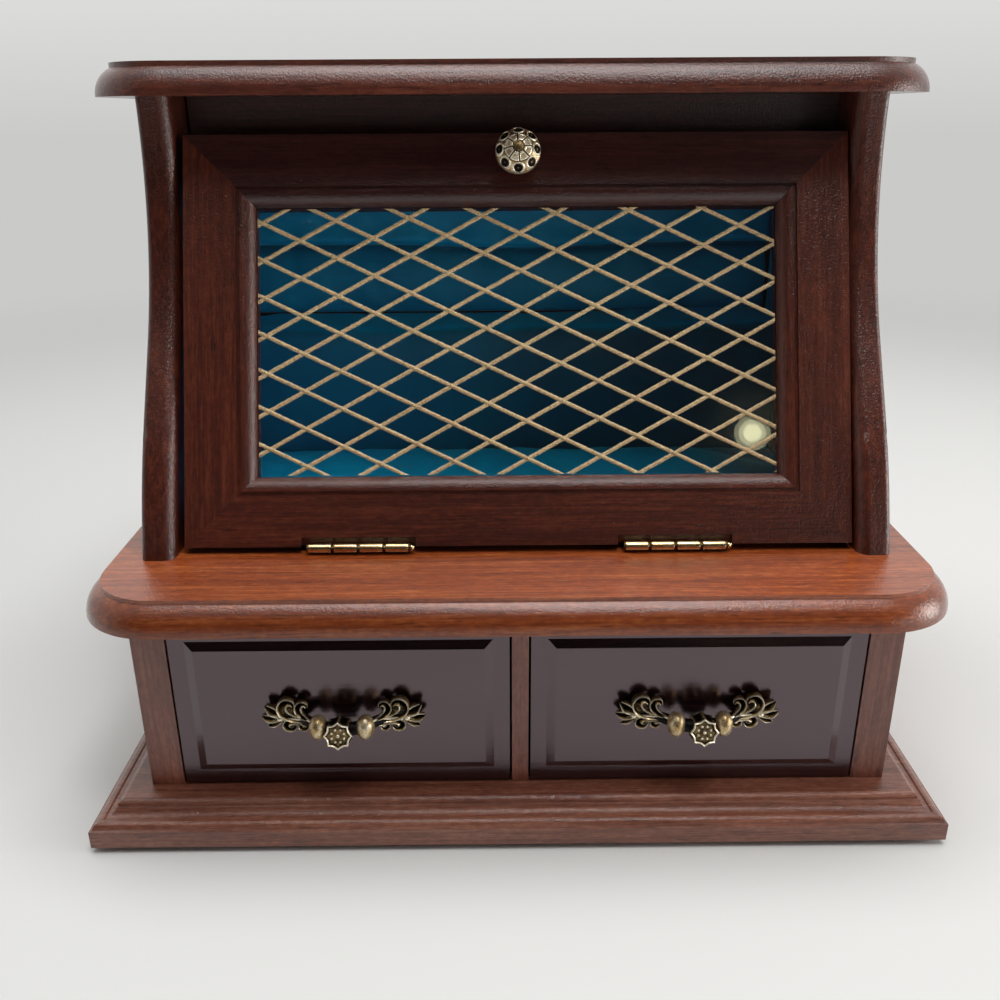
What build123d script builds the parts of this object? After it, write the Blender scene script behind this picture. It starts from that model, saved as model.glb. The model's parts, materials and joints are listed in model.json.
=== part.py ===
"""Musical jewelry box: moulded plinth, two drawers, S-curved uprights and a leaning glass door.

Millimetres, +Z up. The origin is the centre of the footprint, on the surface the box stands on.
The front of the box looks along -Y.
"""
import math
import os

from build123d import *

os.makedirs("parts", exist_ok=True)

# Feet
foot_height = 2.5
foot_radius = 7.0
foot_inset = 22.0

# Plinth
plinth_face_height = 6.7
plinth_shoulder_width = 0.95
plinth_shoulder_rise = 0.2
plinth_bead_width = 3.2
plinth_bead_rise = 2.1
plinth_bead_swell = 0.85
plinth_quirk_width = 0.45
plinth_quirk_drop = 0.4
plinth_cove_width = 3.55
plinth_cove_rise = 2.95
plinth_cove_hollow = 0.8
plinth_step_width = 0.4
plinth_step_rise = 0.95
plinth_nose_width = 1.9
plinth_nose_rise = 1.1
plinth_nose_swell = 0.25
plinth_flat_width = 7.8
plinth_strip_under_case = 12.0
plinth_board_thickness = 9.0

# Case
case_width = 272.0
case_depth = 185.0
case_height = 70.5
side_thickness = 12.0
back_thickness = 6.0
divider_thickness = 6.0
divider_shift = 0.8
top_rail_height = 3.7
top_rail_depth = 20.0

# Waist board and top board
board_overhang = 16.5
board_thickness = 11.3
board_corner_radius = 30.0
edge_inset = 6.0
edge_fillet_height = 1.7

# S-curved uprights
upright_height = 156.2
upright_setback = 20.7
foot_angle = 17.1
middle_angle = 30.6
lower_arc_radius = 215.0
upper_arc_radius = 156.5
upright_straight_top = 5.0
upright_outer_round = 2.5
upright_inner_round = 4.5

# Header rail behind the top of the door
header_behind_door = 3.45
header_thickness = 10.0
header_height = 32.0
header_end_gap = 1.0

# Leaning door
door_side_gap = 1.7
door_top_gap = 13.0
door_thickness = 14.0
door_lean = 22.0
door_shift = 0.95
door_foot_gap = 2.65
door_setback = 5.45
frame_flat = 19.0
frame_moulding = 6.8
frame_quirk_depth = 1.0
frame_quirk_width = 1.4
frame_bead_depth = 0.4
glass_depth = 4.6
glass_thickness = 2.0
glass_bite = 4.0
glass_gap = 0.3
retainer_height = 4.0

# Gold lattice on the glass
lattice_pitch_across = 26.85
lattice_pitch_up = 13.77
lattice_line_width = 1.35
lattice_thickness = 0.15
lattice_turn = 1.65
lattice_margin = 0.5
lattice_shift_across = 2.1
lattice_shift_up = -3.05

# Door knob and its screw
knob_radius = 8.75
knob_reach = 15.0
knob_below_top = 10.3
knob_neck_radius = 3.4
knob_neck_length = 4.5
knob_base_radius = 4.8
knob_base_thickness = 1.4
knob_rim_thickness = 2.6
screw_radius = 1.5
screw_bite = 4.0
screw_head_radius = 3.0
screw_head_height = 1.8
screw_slot_width = 0.7

# Butt hinges
hinge_spacing = 116.0
hinge_shift = 0.2
hinge_length = 37.7
hinge_axis_height = 2.3
hinge_axis_forward = 0.5
hinge_barrel_radius = 1.6
hinge_pin_radius = 0.8
hinge_pin_tip = 1.6
hinge_leaf_thickness = 1.0
hinge_leaf_depth = 9.5
hinge_leaf_gap = 0.35
hinge_knuckles = 4
hinge_knuckle_gap = 0.3
hinge_screw_radius = 1.0
hinge_screw_head_radius = 1.7
hinge_screw_length = 6.0
hinge_screw_pitch = 12.0
notch_end_gap = 2.1
notch_clearance = 1.0
notch_headroom = 2.0

# Magnetic catch
catch_radius = 3.8
catch_plate_thickness = 1.0
catch_gap = 0.4
catch_below_top = 4.6
catch_offset = 24.0
catch_magnet_length = 14.0

# Drawers
drawer_gap = 0.8
drawer_front_thickness = 12.0
drawer_rim = 5.8
drawer_bevel = 3.1
drawer_field_raise = 1.5
drawer_back_gap = 3.0
drawer_side_height = 50.0
drawer_wall = 8.0
drawer_bottom_lift = 3.0
drawer_bottom_thickness = 4.0
drawer_lining_thickness = 1.5
drawer_lining_drop = 4.0

# Drawer pulls
pull_span = 40.0
pull_lift = 1.5
pull_reach = 11.0
pull_drop = 5.0
pull_grip_radius = 2.2
pull_plate_thickness = 3.2
pull_plate_width = 17.4
pull_plate_height = 15.0
pull_lobe_radius = 3.7
pull_bead_radius = 3.6
pull_bead_length = 5.6
pull_bead_round = 1.8
pull_bead_spread = 14.6
pull_star_radius = 5.0
pull_star_thickness = 2.6
pull_star_tilt = 20.0

# Lining of the compartment behind the door
lining_behind_door = 0.6
floor_pad_height = 6.0
floor_pad_crown = 1.5
side_lining_thickness = 1.6
back_pad_thickness = 7.0
back_pad_groove = 3.0
back_pad_lower_height = 31.0
back_pad_top_gap = 6.0
ledge_height = 59.4
ledge_depth = 42.5
ledge_board_thickness = 5.0
ledge_pad_thickness = 4.0
ledge_pad_round = 3.0

# Musical movement inside the ledge
movement_shift = 6.0
bedplate_width = 68.0
bedplate_height = 42.0
bedplate_thickness = 2.5
bedplate_lift = 4.0
bedplate_screw_inset = 5.2
housing_radius = 11.5
housing_depth = 12.0
housing_wall = 1.0
arbor_radius = 1.5
key_offset = -15.0
key_rise = 18.0
key_reach = 18.0
key_wing_width = 18.0
key_wing_length = 12.0
key_wing_thickness = 2.2
key_wing_round = 4.0
key_hub_radius = 3.2
key_hole_radius = 4.0
wheel_radius = 13.0
wheel_mesh_radius = 12.0
wheel_thickness = 1.6
wheel_tooth_depth = 0.8
wheel_teeth = 36
pinion_teeth = 8
pinion_length = 2.4
cylinder_radius = 6.5
cylinder_length = 22.0
cylinder_arbor_radius = 0.9
worm_wheel_radius = 5.0
worm_wheel_thickness = 1.5
worm_radius = 1.2
worm_length = 8.0
fly_radius = 4.0
fly_height = 5.0
fly_blade_thickness = 0.8
fly_arbor_radius = 0.6
lug_thickness = 1.4
lug_width = 5.0
comb_teeth = 18
comb_thickness = 1.0
comb_height = 13.0
comb_foot_height = 5.0
comb_slit = 0.35
comb_screw_inset = 5.5
stop_width = 6.0
stop_thickness = 1.2
stop_button_length = 4.0
stop_button_height = 3.0
stop_travel = 4.0
stop_drop = 13.0
stop_offset = 12.0
movement_screw_radius = 1.3
movement_screw_head = 2.6
movement_screw_head_height = 1.4

# Corners
quarter_turn = 90

# Clearances
fit_clearance = 0.05
running_clearance = 0.3
soft_clearance = 0.3

# Plinth moulding: where each part of its section ends, in from the face and up from its top
shoulder_end = (plinth_shoulder_width, plinth_shoulder_rise)
bead_end = (shoulder_end[0] + plinth_bead_width, shoulder_end[1] + plinth_bead_rise)
quirk_end = (bead_end[0] + plinth_quirk_width, bead_end[1] - plinth_quirk_drop)
cove_end = (quirk_end[0] + plinth_cove_width, quirk_end[1] + plinth_cove_rise)
step_end = (cove_end[0] + plinth_step_width, cove_end[1] + plinth_step_rise)
nose_end = (step_end[0] + plinth_nose_width, step_end[1] + plinth_nose_rise)
plinth_overhang = nose_end[0] + plinth_flat_width
plinth_height = plinth_face_height + nose_end[1]

# Heights, from the table up
plinth_z = foot_height
plinth_top_z = plinth_z + plinth_height
waist_z = plinth_top_z + case_height
waist_top_z = waist_z + board_thickness
top_board_z = waist_top_z + upright_height

# Widths
plinth_width = case_width + 2 * plinth_overhang
case_half = case_width / 2
inner_half = case_half - side_thickness
board_width = case_width + 2 * board_overhang

# Depths: the footprint runs from the plinth to the end of the winding key
plinth_depth = plinth_overhang + case_depth
plinth_front_y = -(plinth_depth + key_reach) / 2
case_front_y = plinth_front_y + plinth_overhang
case_back_y = case_front_y + case_depth
back_face_y = case_back_y - back_thickness
waist_front_y = case_front_y - board_overhang
upright_foot_y = case_front_y + upright_setback

# The S-curve leans back by two arcs and the straight run between them
sin_foot = math.sin(math.radians(foot_angle))
cos_foot = math.cos(math.radians(foot_angle))
sin_middle = math.sin(math.radians(middle_angle))
cos_middle = math.cos(math.radians(middle_angle))
lower_rise = lower_arc_radius * (sin_middle - sin_foot)
lower_run = lower_arc_radius * (cos_foot - cos_middle)
upper_rise = upper_arc_radius * sin_middle
upper_run = upper_arc_radius * (1 - cos_middle)
straight_rise = upright_height - upright_straight_top - lower_rise - upper_rise
straight_run = straight_rise * sin_middle / cos_middle
slope_end_y = upright_foot_y + lower_run + straight_run
slope_end_z = waist_top_z + lower_rise + straight_rise
upright_top_y = slope_end_y + upper_run
top_board_front_y = upright_top_y - board_overhang
header_z = top_board_z - header_height

# Door plane: its origin is the middle of the bottom front edge, its Y runs up the slope
sin_lean = math.sin(math.radians(door_lean))
cos_lean = math.cos(math.radians(door_lean))
door_width = 2 * (inner_half - door_side_gap)
door_height = (upright_height - door_foot_gap - door_top_gap) / cos_lean
door_foot_y = upright_foot_y + door_setback
door_foot_z = waist_top_z + door_foot_gap
door_out = Vector(0, -cos_lean, sin_lean)
door_up = Vector(0, sin_lean, cos_lean)
door_face = Plane(origin=(door_shift, door_foot_y, door_foot_z), x_dir=(1, 0, 0), z_dir=door_out)
frame_width = frame_flat + frame_moulding
opening_width = door_width - 2 * frame_width
opening_height = door_height - 2 * frame_width
pane_width = opening_width + 2 * glass_bite - 2 * glass_gap
pane_height = opening_height + 2 * glass_bite - 2 * glass_gap
knob_up = door_height - knob_below_top
catch_up = door_height - catch_below_top
header_front_y = door_foot_y + door_height * sin_lean + door_thickness * cos_lean + header_behind_door

# Hinge axis and leaves
hinge_y = door_foot_y - hinge_axis_forward
hinge_z = waist_top_z + hinge_axis_height
hinge_xs = {"left": hinge_shift - hinge_spacing / 2, "right": hinge_shift + hinge_spacing / 2}
leaf_start_y = hinge_y + hinge_barrel_radius + hinge_leaf_gap
leaf_end_y = leaf_start_y + hinge_leaf_depth
leaf_screw_y = (leaf_start_y + leaf_end_y) / 2
door_leaf_top_z = door_foot_z - fit_clearance
notch_top_z = hinge_z + hinge_barrel_radius + notch_headroom
notch_back_y = hinge_y + hinge_barrel_radius + notch_clearance

# Drawers: each cell runs from a case side to the divider
divider_left_x = divider_shift - divider_thickness / 2
divider_right_x = divider_shift + divider_thickness / 2
cells = {"left": (-inner_half, divider_left_x), "right": (divider_right_x, inner_half)}
drawer_z = plinth_top_z + drawer_gap
rail_z = waist_z - top_rail_height
drawer_top_z = rail_z - drawer_gap

# Lining
ledge_face_y = back_face_y - ledge_depth
ledge_top_z = waist_top_z + ledge_height
ledge_board_y = ledge_face_y + ledge_pad_thickness
ledge_board_z = ledge_top_z - ledge_pad_thickness
back_pad_face_y = back_face_y - back_pad_thickness

# Movement, from the upper back towards the front
movement_face_y = back_face_y - bedplate_thickness
bedplate_z = waist_top_z + bedplate_lift
key_x = movement_shift + key_offset
key_z = bedplate_z + key_rise
housing_front_y = movement_face_y - housing_depth
wheel_back_y = housing_front_y - running_clearance
wheel_front_y = wheel_back_y - wheel_thickness
pinion_radius = wheel_mesh_radius * pinion_teeth / wheel_teeth
cylinder_y = wheel_front_y - running_clearance - pinion_radius
pinion_x = key_x + wheel_mesh_radius - pinion_length / 2
lug_x = key_x + wheel_radius + running_clearance
cylinder_x = lug_x + lug_thickness + running_clearance
far_lug_x = cylinder_x + cylinder_length + running_clearance
fly_x = far_lug_x + lug_thickness + running_clearance + worm_radius
worm_wheel_x = fly_x - worm_wheel_thickness / 2
fly_y = cylinder_y + worm_wheel_radius + worm_radius + running_clearance
comb_z = key_z + cylinder_radius + running_clearance
stop_x = movement_shift + stop_offset
stop_z = key_z - stop_drop


def save(name, part):
    """Label one finished piece and write it to its own file."""
    part.label = name
    export_step(part, f"parts/{name}.step")


def front_plane(y):
    """Upright plane at a depth: sketch X is X, sketch Y is Z, and its normal looks along -Y."""
    return Plane.XZ.offset(-y)


def side_plane(x, y, z):
    """Upright plane across the box, at a point: its normal looks along +X."""
    return Plane(origin=(x, y, z), x_dir=(0, 1, 0), z_dir=(1, 0, 0))


def board(x_range, y_range, z_range):
    """A plain rectangular block between three pairs of limits."""
    x_from, x_to = x_range
    y_from, y_to = y_range
    z_from, z_to = z_range
    with BuildPart() as piece:
        with BuildSketch(Plane.XY.offset(z_from)):
            with Locations(((x_from + x_to) / 2, (y_from + y_to) / 2)):
                Rectangle(x_to - x_from, y_to - y_from)
        extrude(amount=z_to - z_from)
    return piece.part


def rod(place, radius, length):
    """A round rod that starts on a plane and runs along its normal."""
    with BuildPart() as piece:
        with BuildSketch(place):
            Circle(radius)
        extrude(amount=length)
    return piece.part


def screw(place, head_radius, head_height, shank_radius, shank_length):
    """Pan head screw: the plane is the seat of the head, and the shank runs along its normal."""
    with BuildPart() as piece:
        add(rod(place, shank_radius, shank_length))
        add(rod(place, head_radius, -head_height))
        with BuildSketch(place.offset(-head_height)):
            Rectangle(head_radius, screw_slot_width)
        extrude(amount=head_height / 2, mode=Mode.SUBTRACT)
    return piece.part


def mirrored(part):
    """The same piece on the other side of the box."""
    return mirror(part, about=Plane.YZ, mode=Mode.PRIVATE)


# Feet


def make_feet():
    foot_x = plinth_width / 2 - foot_inset
    foot_ys = (plinth_front_y + foot_inset, case_back_y - foot_inset)
    with BuildPart() as feet:
        with BuildSketch():
            with Locations([(x, y) for x in (-foot_x, foot_x) for y in foot_ys]):
                Circle(foot_radius)
        extrude(amount=foot_height)
    save("foot_pads", feet.part)


# Plinth: a flat board framed on three sides by mitred moulding


def plinth_section(place):
    """Section of the moulding; place turns a distance in from the face and a height into points.

    From below: a face, a shoulder, a bead, a quirk, a cove, a step and a rounded nose up to the flat.
    """
    strip_width = plinth_overhang + plinth_strip_under_case

    def above_face(point):
        across, up = point
        return place(across, plinth_z + plinth_face_height + up)

    face_top = above_face((0, 0))
    step_foot = above_face((step_end[0], cove_end[1]))
    top = place(strip_width, plinth_top_z)
    bottom = place(strip_width, plinth_z)
    face_bottom = place(0, plinth_z)
    with BuildSketch() as section:
        with BuildLine():
            Line(face_bottom, face_top)
            Line(face_top, above_face(shoulder_end))
            SagittaArc(above_face(shoulder_end), above_face(bead_end), plinth_bead_swell)
            Line(above_face(bead_end), above_face(quirk_end))
            SagittaArc(above_face(quirk_end), above_face(cove_end), -plinth_cove_hollow)
            Line(above_face(cove_end), step_foot)
            Line(step_foot, above_face(step_end))
            SagittaArc(above_face(step_end), above_face(nose_end), plinth_nose_swell)
            Line(above_face(nose_end), top)
            Line(top, bottom)
            Line(bottom, face_bottom)
        make_face()
    return section.sketch


def make_plinth():
    half = plinth_width / 2
    strip_width = plinth_overhang + plinth_strip_under_case
    with BuildPart() as front_strip:
        with BuildSketch(Plane.YZ.offset(-half)):
            add(plinth_section(lambda inward, z: (plinth_front_y + inward, z)))
        extrude(amount=plinth_width)
        split(bisect_by=Plane(origin=(-half, plinth_front_y, 0), z_dir=(1, -1, 0)))
        split(bisect_by=Plane(origin=(half, plinth_front_y, 0), z_dir=(-1, -1, 0)))

    with BuildPart() as side_strip:
        with BuildSketch(front_plane(case_back_y)):
            add(plinth_section(lambda inward, z: (-half + inward, z)))
        extrude(amount=plinth_depth)
        split(bisect_by=Plane(origin=(-half, plinth_front_y, 0), z_dir=(-1, 1, 0)))
    strips = [front_strip.part, side_strip.part, mirrored(side_strip.part)]
    save("plinth_moulding", Compound(children=strips))

    core = board(
        (-half + strip_width, half - strip_width),
        (plinth_front_y + strip_width, case_back_y),
        (plinth_top_z - plinth_board_thickness, plinth_top_z),
    )
    save("plinth_board", core)


# Lower case: two sides, a back, a divider and a rail over the drawers


def make_case():
    z_range = (plinth_top_z, waist_z)
    side = board((-case_half, -inner_half), (case_front_y, case_back_y), z_range)
    save("case_side_left", side)
    save("case_side_right", mirrored(side))
    save("case_back", board((-inner_half, inner_half), (back_face_y, case_back_y), z_range))
    rail_back_y = case_front_y + top_rail_depth
    rail = board((-inner_half, inner_half), (case_front_y, rail_back_y), (rail_z, waist_z))
    save("drawer_top_rail", rail)
    with BuildPart() as divider:
        add(board((divider_left_x, divider_right_x), (case_front_y, back_face_y), z_range))
        add(rail, mode=Mode.SUBTRACT)
    save("drawer_divider", divider.part)


# Waist board and top board share one routed edge


def board_outline(front_y, back_y, plane):
    """Left side, rounded front corner, front, rounded front corner, right side."""
    half = board_width / 2
    corner = board_corner_radius
    with BuildLine(plane) as outline:
        Line((-half, back_y), (-half, front_y + corner))
        JernArc(start=(-half, front_y + corner), tangent=(0, -1), radius=corner, arc_size=quarter_turn)
        Line((-half + corner, front_y), (half - corner, front_y))
        JernArc(start=(half - corner, front_y), tangent=(1, 0), radius=corner, arc_size=quarter_turn)
        Line((half, front_y + corner), (half, back_y))
    return outline.wire()


def moulded_board(front_y, bottom_z):
    """Board with an ovolo under a small square fillet along its front and sides."""
    half = board_width / 2
    start_y = case_back_y + edge_inset
    ovolo = board_thickness - edge_fillet_height
    radius = (edge_inset**2 + ovolo**2) / (2 * edge_inset)
    half_turn = math.asin(ovolo / radius) / 2
    ovolo_middle = (radius * (1 - math.cos(half_turn)), radius * math.sin(half_turn))
    over = board_thickness + edge_fillet_height
    start_plane = Plane(origin=(-half, start_y, bottom_z), x_dir=(1, 0, 0), z_dir=(0, -1, 0))
    with BuildPart() as piece:
        with BuildSketch(Plane.XY.offset(bottom_z)):
            with BuildLine():
                add(board_outline(front_y, case_back_y, Plane.XY))
                Line((half, case_back_y), (-half, case_back_y))
            make_face()
        extrude(amount=board_thickness)
        with BuildSketch(start_plane) as waste:
            with BuildLine():
                ThreePointArc((0, 0), ovolo_middle, (edge_inset, ovolo))
                Line((edge_inset, ovolo), (edge_inset, over))
                Line((edge_inset, over), (-edge_inset, over))
                Line((-edge_inset, over), (-edge_inset, 0))
                Line((-edge_inset, 0), (0, 0))
            make_face()
        route = board_outline(front_y, start_y, Plane.XY.offset(bottom_z))
        sweep(waste.sketch, path=route, mode=Mode.SUBTRACT)
    return piece.part


def hinge_screw_spots():
    """X and Y of the hinge screws."""
    steps = (-hinge_screw_pitch, 0, hinge_screw_pitch)
    return [(x + step, leaf_screw_y) for x in hinge_xs.values() for step in steps]


def make_boards():
    with BuildPart() as waist:
        add(moulded_board(waist_front_y, waist_z))
        with BuildSketch(Plane.XY.offset(waist_top_z)):
            with Locations(hinge_screw_spots()):
                Circle(hinge_screw_radius + fit_clearance)
        extrude(amount=-hinge_screw_length, mode=Mode.SUBTRACT)
    save("waist_board", waist.part)
    save("top_board", moulded_board(top_board_front_y, top_board_z))


# Uprights


def make_uprights():
    with BuildPart() as upright:
        with BuildSketch(Plane.YZ.offset(-case_half)):
            with BuildLine():
                lower = JernArc(
                    start=(upright_foot_y, waist_top_z),
                    tangent=(sin_foot, cos_foot),
                    radius=lower_arc_radius,
                    arc_size=foot_angle - middle_angle,
                )
                Line(lower @ 1, (slope_end_y, slope_end_z))
                upper = JernArc(
                    start=(slope_end_y, slope_end_z),
                    tangent=(sin_middle, cos_middle),
                    radius=upper_arc_radius,
                    arc_size=middle_angle,
                )
                Line(upper @ 1, (upright_top_y, top_board_z))
                Line((upright_top_y, top_board_z), (case_back_y, top_board_z))
                Line((case_back_y, top_board_z), (case_back_y, waist_top_z))
                Line((case_back_y, waist_top_z), (upright_foot_y, waist_top_z))
            make_face()
        extrude(amount=side_thickness)

        def front_edges(x):
            """The edges of the S-curve on one face of the panel."""
            upright_edges = upright.edges().filter_by(lambda e: e.bounding_box().size.X < fit_clearance)
            on_face = upright_edges.filter_by(lambda e: abs(e.center().X - x) < fit_clearance)
            return on_face.filter_by(lambda e: e.center().Y < upright_top_y + fit_clearance)

        fillet(front_edges(-case_half), radius=upright_outer_round)
        fillet(front_edges(-inner_half), radius=upright_inner_round)
    save("upright_left", upright.part)
    save("upright_right", mirrored(upright.part))


# Upper back with holes for the key, the stop lever and the movement's screws


def bedplate_screw_spots():
    """X and Z of the screws that hold the bedplate to the upper back."""
    x = bedplate_width / 2 - bedplate_screw_inset
    low = bedplate_z + bedplate_screw_inset
    high = bedplate_z + bedplate_height - bedplate_screw_inset
    return [(movement_shift + side * x, z) for side in (-1, 1) for z in (low, high)]


def stop_slot():
    """The slot that the stop lever slides in, in X and Z."""
    with BuildSketch() as slot:
        with Locations((stop_x + stop_travel / 2, stop_z)):
            Rectangle(
                stop_width + stop_travel + 2 * running_clearance,
                stop_thickness + 2 * running_clearance,
            )
    return slot.sketch


def make_upper_back():
    with BuildPart() as back:
        add(board((-inner_half, inner_half), (back_face_y, case_back_y), (waist_top_z, top_board_z)))
        with BuildSketch(front_plane(case_back_y)):
            with Locations((key_x, key_z)):
                Circle(key_hole_radius)
            add(stop_slot())
            with Locations(bedplate_screw_spots()):
                Circle(movement_screw_radius + fit_clearance)
        extrude(amount=back_thickness, mode=Mode.SUBTRACT)
    save("upper_back", back.part)


# Header rail, with the magnet of the catch let into it square to the door

catch_point = door_face.from_local_coords(Vector(catch_offset, catch_up, -door_thickness))
catch_plane = Plane(origin=catch_point, x_dir=(1, 0, 0), z_dir=-door_out)


def make_header():
    magnet_start = catch_plane.offset(catch_gap)
    with BuildPart() as header:
        add(
            board(
                (-inner_half + header_end_gap, inner_half),
                (header_front_y, header_front_y + header_thickness),
                (header_z, top_board_z),
            )
        )
        add(rod(magnet_start, catch_radius + fit_clearance, catch_magnet_length), mode=Mode.SUBTRACT)
    save("header_rail", header.part)
    save("catch_magnet", rod(magnet_start, catch_radius, catch_magnet_length - fit_clearance))


# Door frame: four mitred members of one section


def frame_section():
    """Sketch X runs in from the outer edge of the door, sketch Y out of its face."""
    bead_start = frame_flat + frame_quirk_width
    rabbet_start = frame_width - glass_bite
    with BuildSketch() as section:
        with BuildLine():
            Line((0, -door_thickness), (0, 0))
            Line((0, 0), (frame_flat, 0))
            Line((frame_flat, 0), (frame_flat, -frame_quirk_depth))
            Line((frame_flat, -frame_quirk_depth), (bead_start, -frame_quirk_depth))
            Line((bead_start, -frame_quirk_depth), (bead_start, -frame_bead_depth))
            bead = TangentArc((bead_start, -frame_bead_depth), (frame_width, -glass_depth), tangent=(1, 0))
            Line(bead @ 1, (rabbet_start, -glass_depth))
            Line((rabbet_start, -glass_depth), (rabbet_start, -door_thickness))
            Line((rabbet_start, -door_thickness), (0, -door_thickness))
        make_face()
    return section.sketch


def frame_member(corner, inward, length):
    """One member from a corner of the door along its edge, level where it stands over the waist board."""
    run = inward.cross(door_out)
    start = door_face.from_local_coords(Vector(*corner, 0))
    end = start + run * length
    with BuildPart() as member:
        with BuildSketch(Plane(origin=start, x_dir=inward, z_dir=run)):
            add(frame_section())
        extrude(amount=length)
        split(bisect_by=Plane(origin=start, z_dir=run - inward))
        split(bisect_by=Plane(origin=end, z_dir=-run - inward))
        split(bisect_by=Plane.XY.offset(door_foot_z))
    return member.part


def make_door_frame():
    half = door_width / 2
    across = Vector(1, 0, 0)
    save("door_stile_left", frame_member((-half, door_height), across, door_height))
    save("door_stile_right", frame_member((half, 0), -across, door_height))

    knob_seat = door_face.offset(-door_thickness)
    with BuildPart() as top_rail:
        add(frame_member((half, door_height), -door_up, door_width))
        with BuildSketch(knob_seat):
            with Locations((0, knob_up)):
                Circle(screw_radius + fit_clearance)
        extrude(amount=door_thickness, mode=Mode.SUBTRACT)
        with BuildSketch(knob_seat):
            with Locations((0, knob_up)):
                Circle(screw_head_radius + fit_clearance)
        extrude(amount=screw_head_height, mode=Mode.SUBTRACT)
        add(rod(catch_plane, catch_radius + fit_clearance, -catch_plate_thickness), mode=Mode.SUBTRACT)
    save("door_rail_top", top_rail.part)
    save("catch_plate", rod(catch_plane, catch_radius, -catch_plate_thickness))

    with BuildPart() as bottom_rail:
        add(frame_member((-half, 0), door_up, door_width))
        for x in hinge_xs.values():
            half_notch = hinge_length / 2 + notch_end_gap
            add(
                board(
                    (x - half_notch, x + half_notch),
                    (waist_front_y, notch_back_y),
                    (waist_top_z, notch_top_z),
                ),
                mode=Mode.SUBTRACT,
            )
        with BuildSketch(Plane.XY.offset(waist_top_z)):
            with Locations(hinge_screw_spots()):
                Circle(hinge_screw_radius + fit_clearance)
        extrude(amount=door_foot_gap + hinge_screw_length, mode=Mode.SUBTRACT)
    save("door_rail_bottom", bottom_rail.part)


def make_glass():
    """Pane in the rabbet, a frame of bead behind it and the lattice on its front."""
    middle = (0, door_height / 2)
    pane_plane = door_face.offset(-glass_depth)
    with BuildPart() as pane:
        with BuildSketch(pane_plane):
            with Locations(middle):
                Rectangle(pane_width, pane_height)
        extrude(amount=-glass_thickness)
    save("glass_pane", pane.part)

    with BuildPart() as retainer:
        with BuildSketch(pane_plane.offset(-glass_thickness)):
            with Locations(middle):
                Rectangle(pane_width, pane_height)
                Rectangle(opening_width, opening_height, mode=Mode.SUBTRACT)
        extrude(amount=-retainer_height)
    save("glass_retainer", retainer.part)

    line_angle = math.degrees(math.atan2(lattice_pitch_up, lattice_pitch_across))
    line_length = opening_width + opening_height
    pitch = lattice_pitch_across * math.sin(math.radians(line_angle))
    count = math.ceil(line_length / pitch / 2)
    shift = Vector(lattice_shift_across, lattice_shift_up).rotate(Axis.Z, lattice_turn)
    with BuildPart() as lattice:
        with BuildSketch(pane_plane):
            for slope in (-1, 1):
                turn = lattice_turn + slope * line_angle
                step = Vector(0, pitch).rotate(Axis.Z, turn)
                for index in range(-count, count + 1):
                    spot = shift + step * index
                    with Locations(Location((spot.X, spot.Y + door_height / 2, 0), (0, 0, turn))):
                        Rectangle(line_length, lattice_line_width)
            with Locations(middle):
                Rectangle(
                    opening_width - 2 * lattice_margin,
                    opening_height - 2 * lattice_margin,
                    mode=Mode.INTERSECT,
                )
        extrude(amount=lattice_thickness)
    save("gold_lattice", lattice.part)


def make_knob():
    """Turned knob with a waist and a domed face, and the screw that holds it from behind."""
    head_start = knob_base_thickness + knob_neck_length
    rim_start = (head_start + knob_reach - knob_rim_thickness) / 2
    rim_end = rim_start + knob_rim_thickness
    axis_plane = Plane(
        origin=door_face.from_local_coords(Vector(0, knob_up, 0)), x_dir=(1, 0, 0), z_dir=-door_up
    )
    tap_depth = knob_base_thickness + screw_bite
    with BuildPart() as knob:
        with BuildSketch(axis_plane):
            with BuildLine():
                Line((0, 0), (knob_base_radius, 0))
                Line((knob_base_radius, 0), (knob_base_radius, knob_base_thickness))
                Line((knob_base_radius, knob_base_thickness), (knob_neck_radius, knob_base_thickness))
                Line((knob_neck_radius, knob_base_thickness), (knob_neck_radius, head_start))
                Line((knob_neck_radius, head_start), (knob_radius, rim_start))
                Line((knob_radius, rim_start), (knob_radius, rim_end))
                dome = TangentArc((0, knob_reach), (knob_radius, rim_end), tangent=(1, 0))
                Line(dome @ 0, (0, 0))
            make_face()
        revolve(axis=Axis(axis_plane.origin, door_out))
        with BuildSketch(door_face):
            with Locations((0, knob_up)):
                Circle(screw_radius + fit_clearance)
        extrude(amount=tap_depth, mode=Mode.SUBTRACT)
    save("door_knob", knob.part)
    seat_point = door_face.from_local_coords(Vector(0, knob_up, screw_head_height - door_thickness))
    seat = Plane(origin=seat_point, x_dir=(1, 0, 0), z_dir=door_out)
    shank = door_thickness - screw_head_height + tap_depth - fit_clearance
    save("knob_screw", screw(seat, screw_head_radius, screw_head_height, screw_radius, shank))


# Hinges


def hinge_leaf(x, bottom_z, own_knuckles):
    """Flat leaf and its knuckles, each on a foot that runs from the leaf to under the barrel."""
    half = hinge_length / 2
    knuckle = (hinge_length - (hinge_knuckles - 1) * hinge_knuckle_gap) / hinge_knuckles
    leaf_z = (bottom_z, bottom_z + hinge_leaf_thickness)
    with BuildPart() as leaf:
        add(board((x - half, x + half), (leaf_start_y, leaf_end_y), leaf_z))
        for index in own_knuckles:
            start = x - half + index * (knuckle + hinge_knuckle_gap)
            reach = (start, start + knuckle)
            add(rod(side_plane(start, hinge_y, hinge_z), hinge_barrel_radius, knuckle))
            add(board(reach, (hinge_y + hinge_pin_radius, leaf_start_y), leaf_z))
            add(board(reach, (hinge_y, hinge_y + hinge_barrel_radius), (bottom_z, hinge_z)))
        bore = side_plane(x - half, hinge_y, hinge_z)
        add(rod(bore, hinge_pin_radius + fit_clearance, hinge_length), mode=Mode.SUBTRACT)
    return leaf.part


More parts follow.
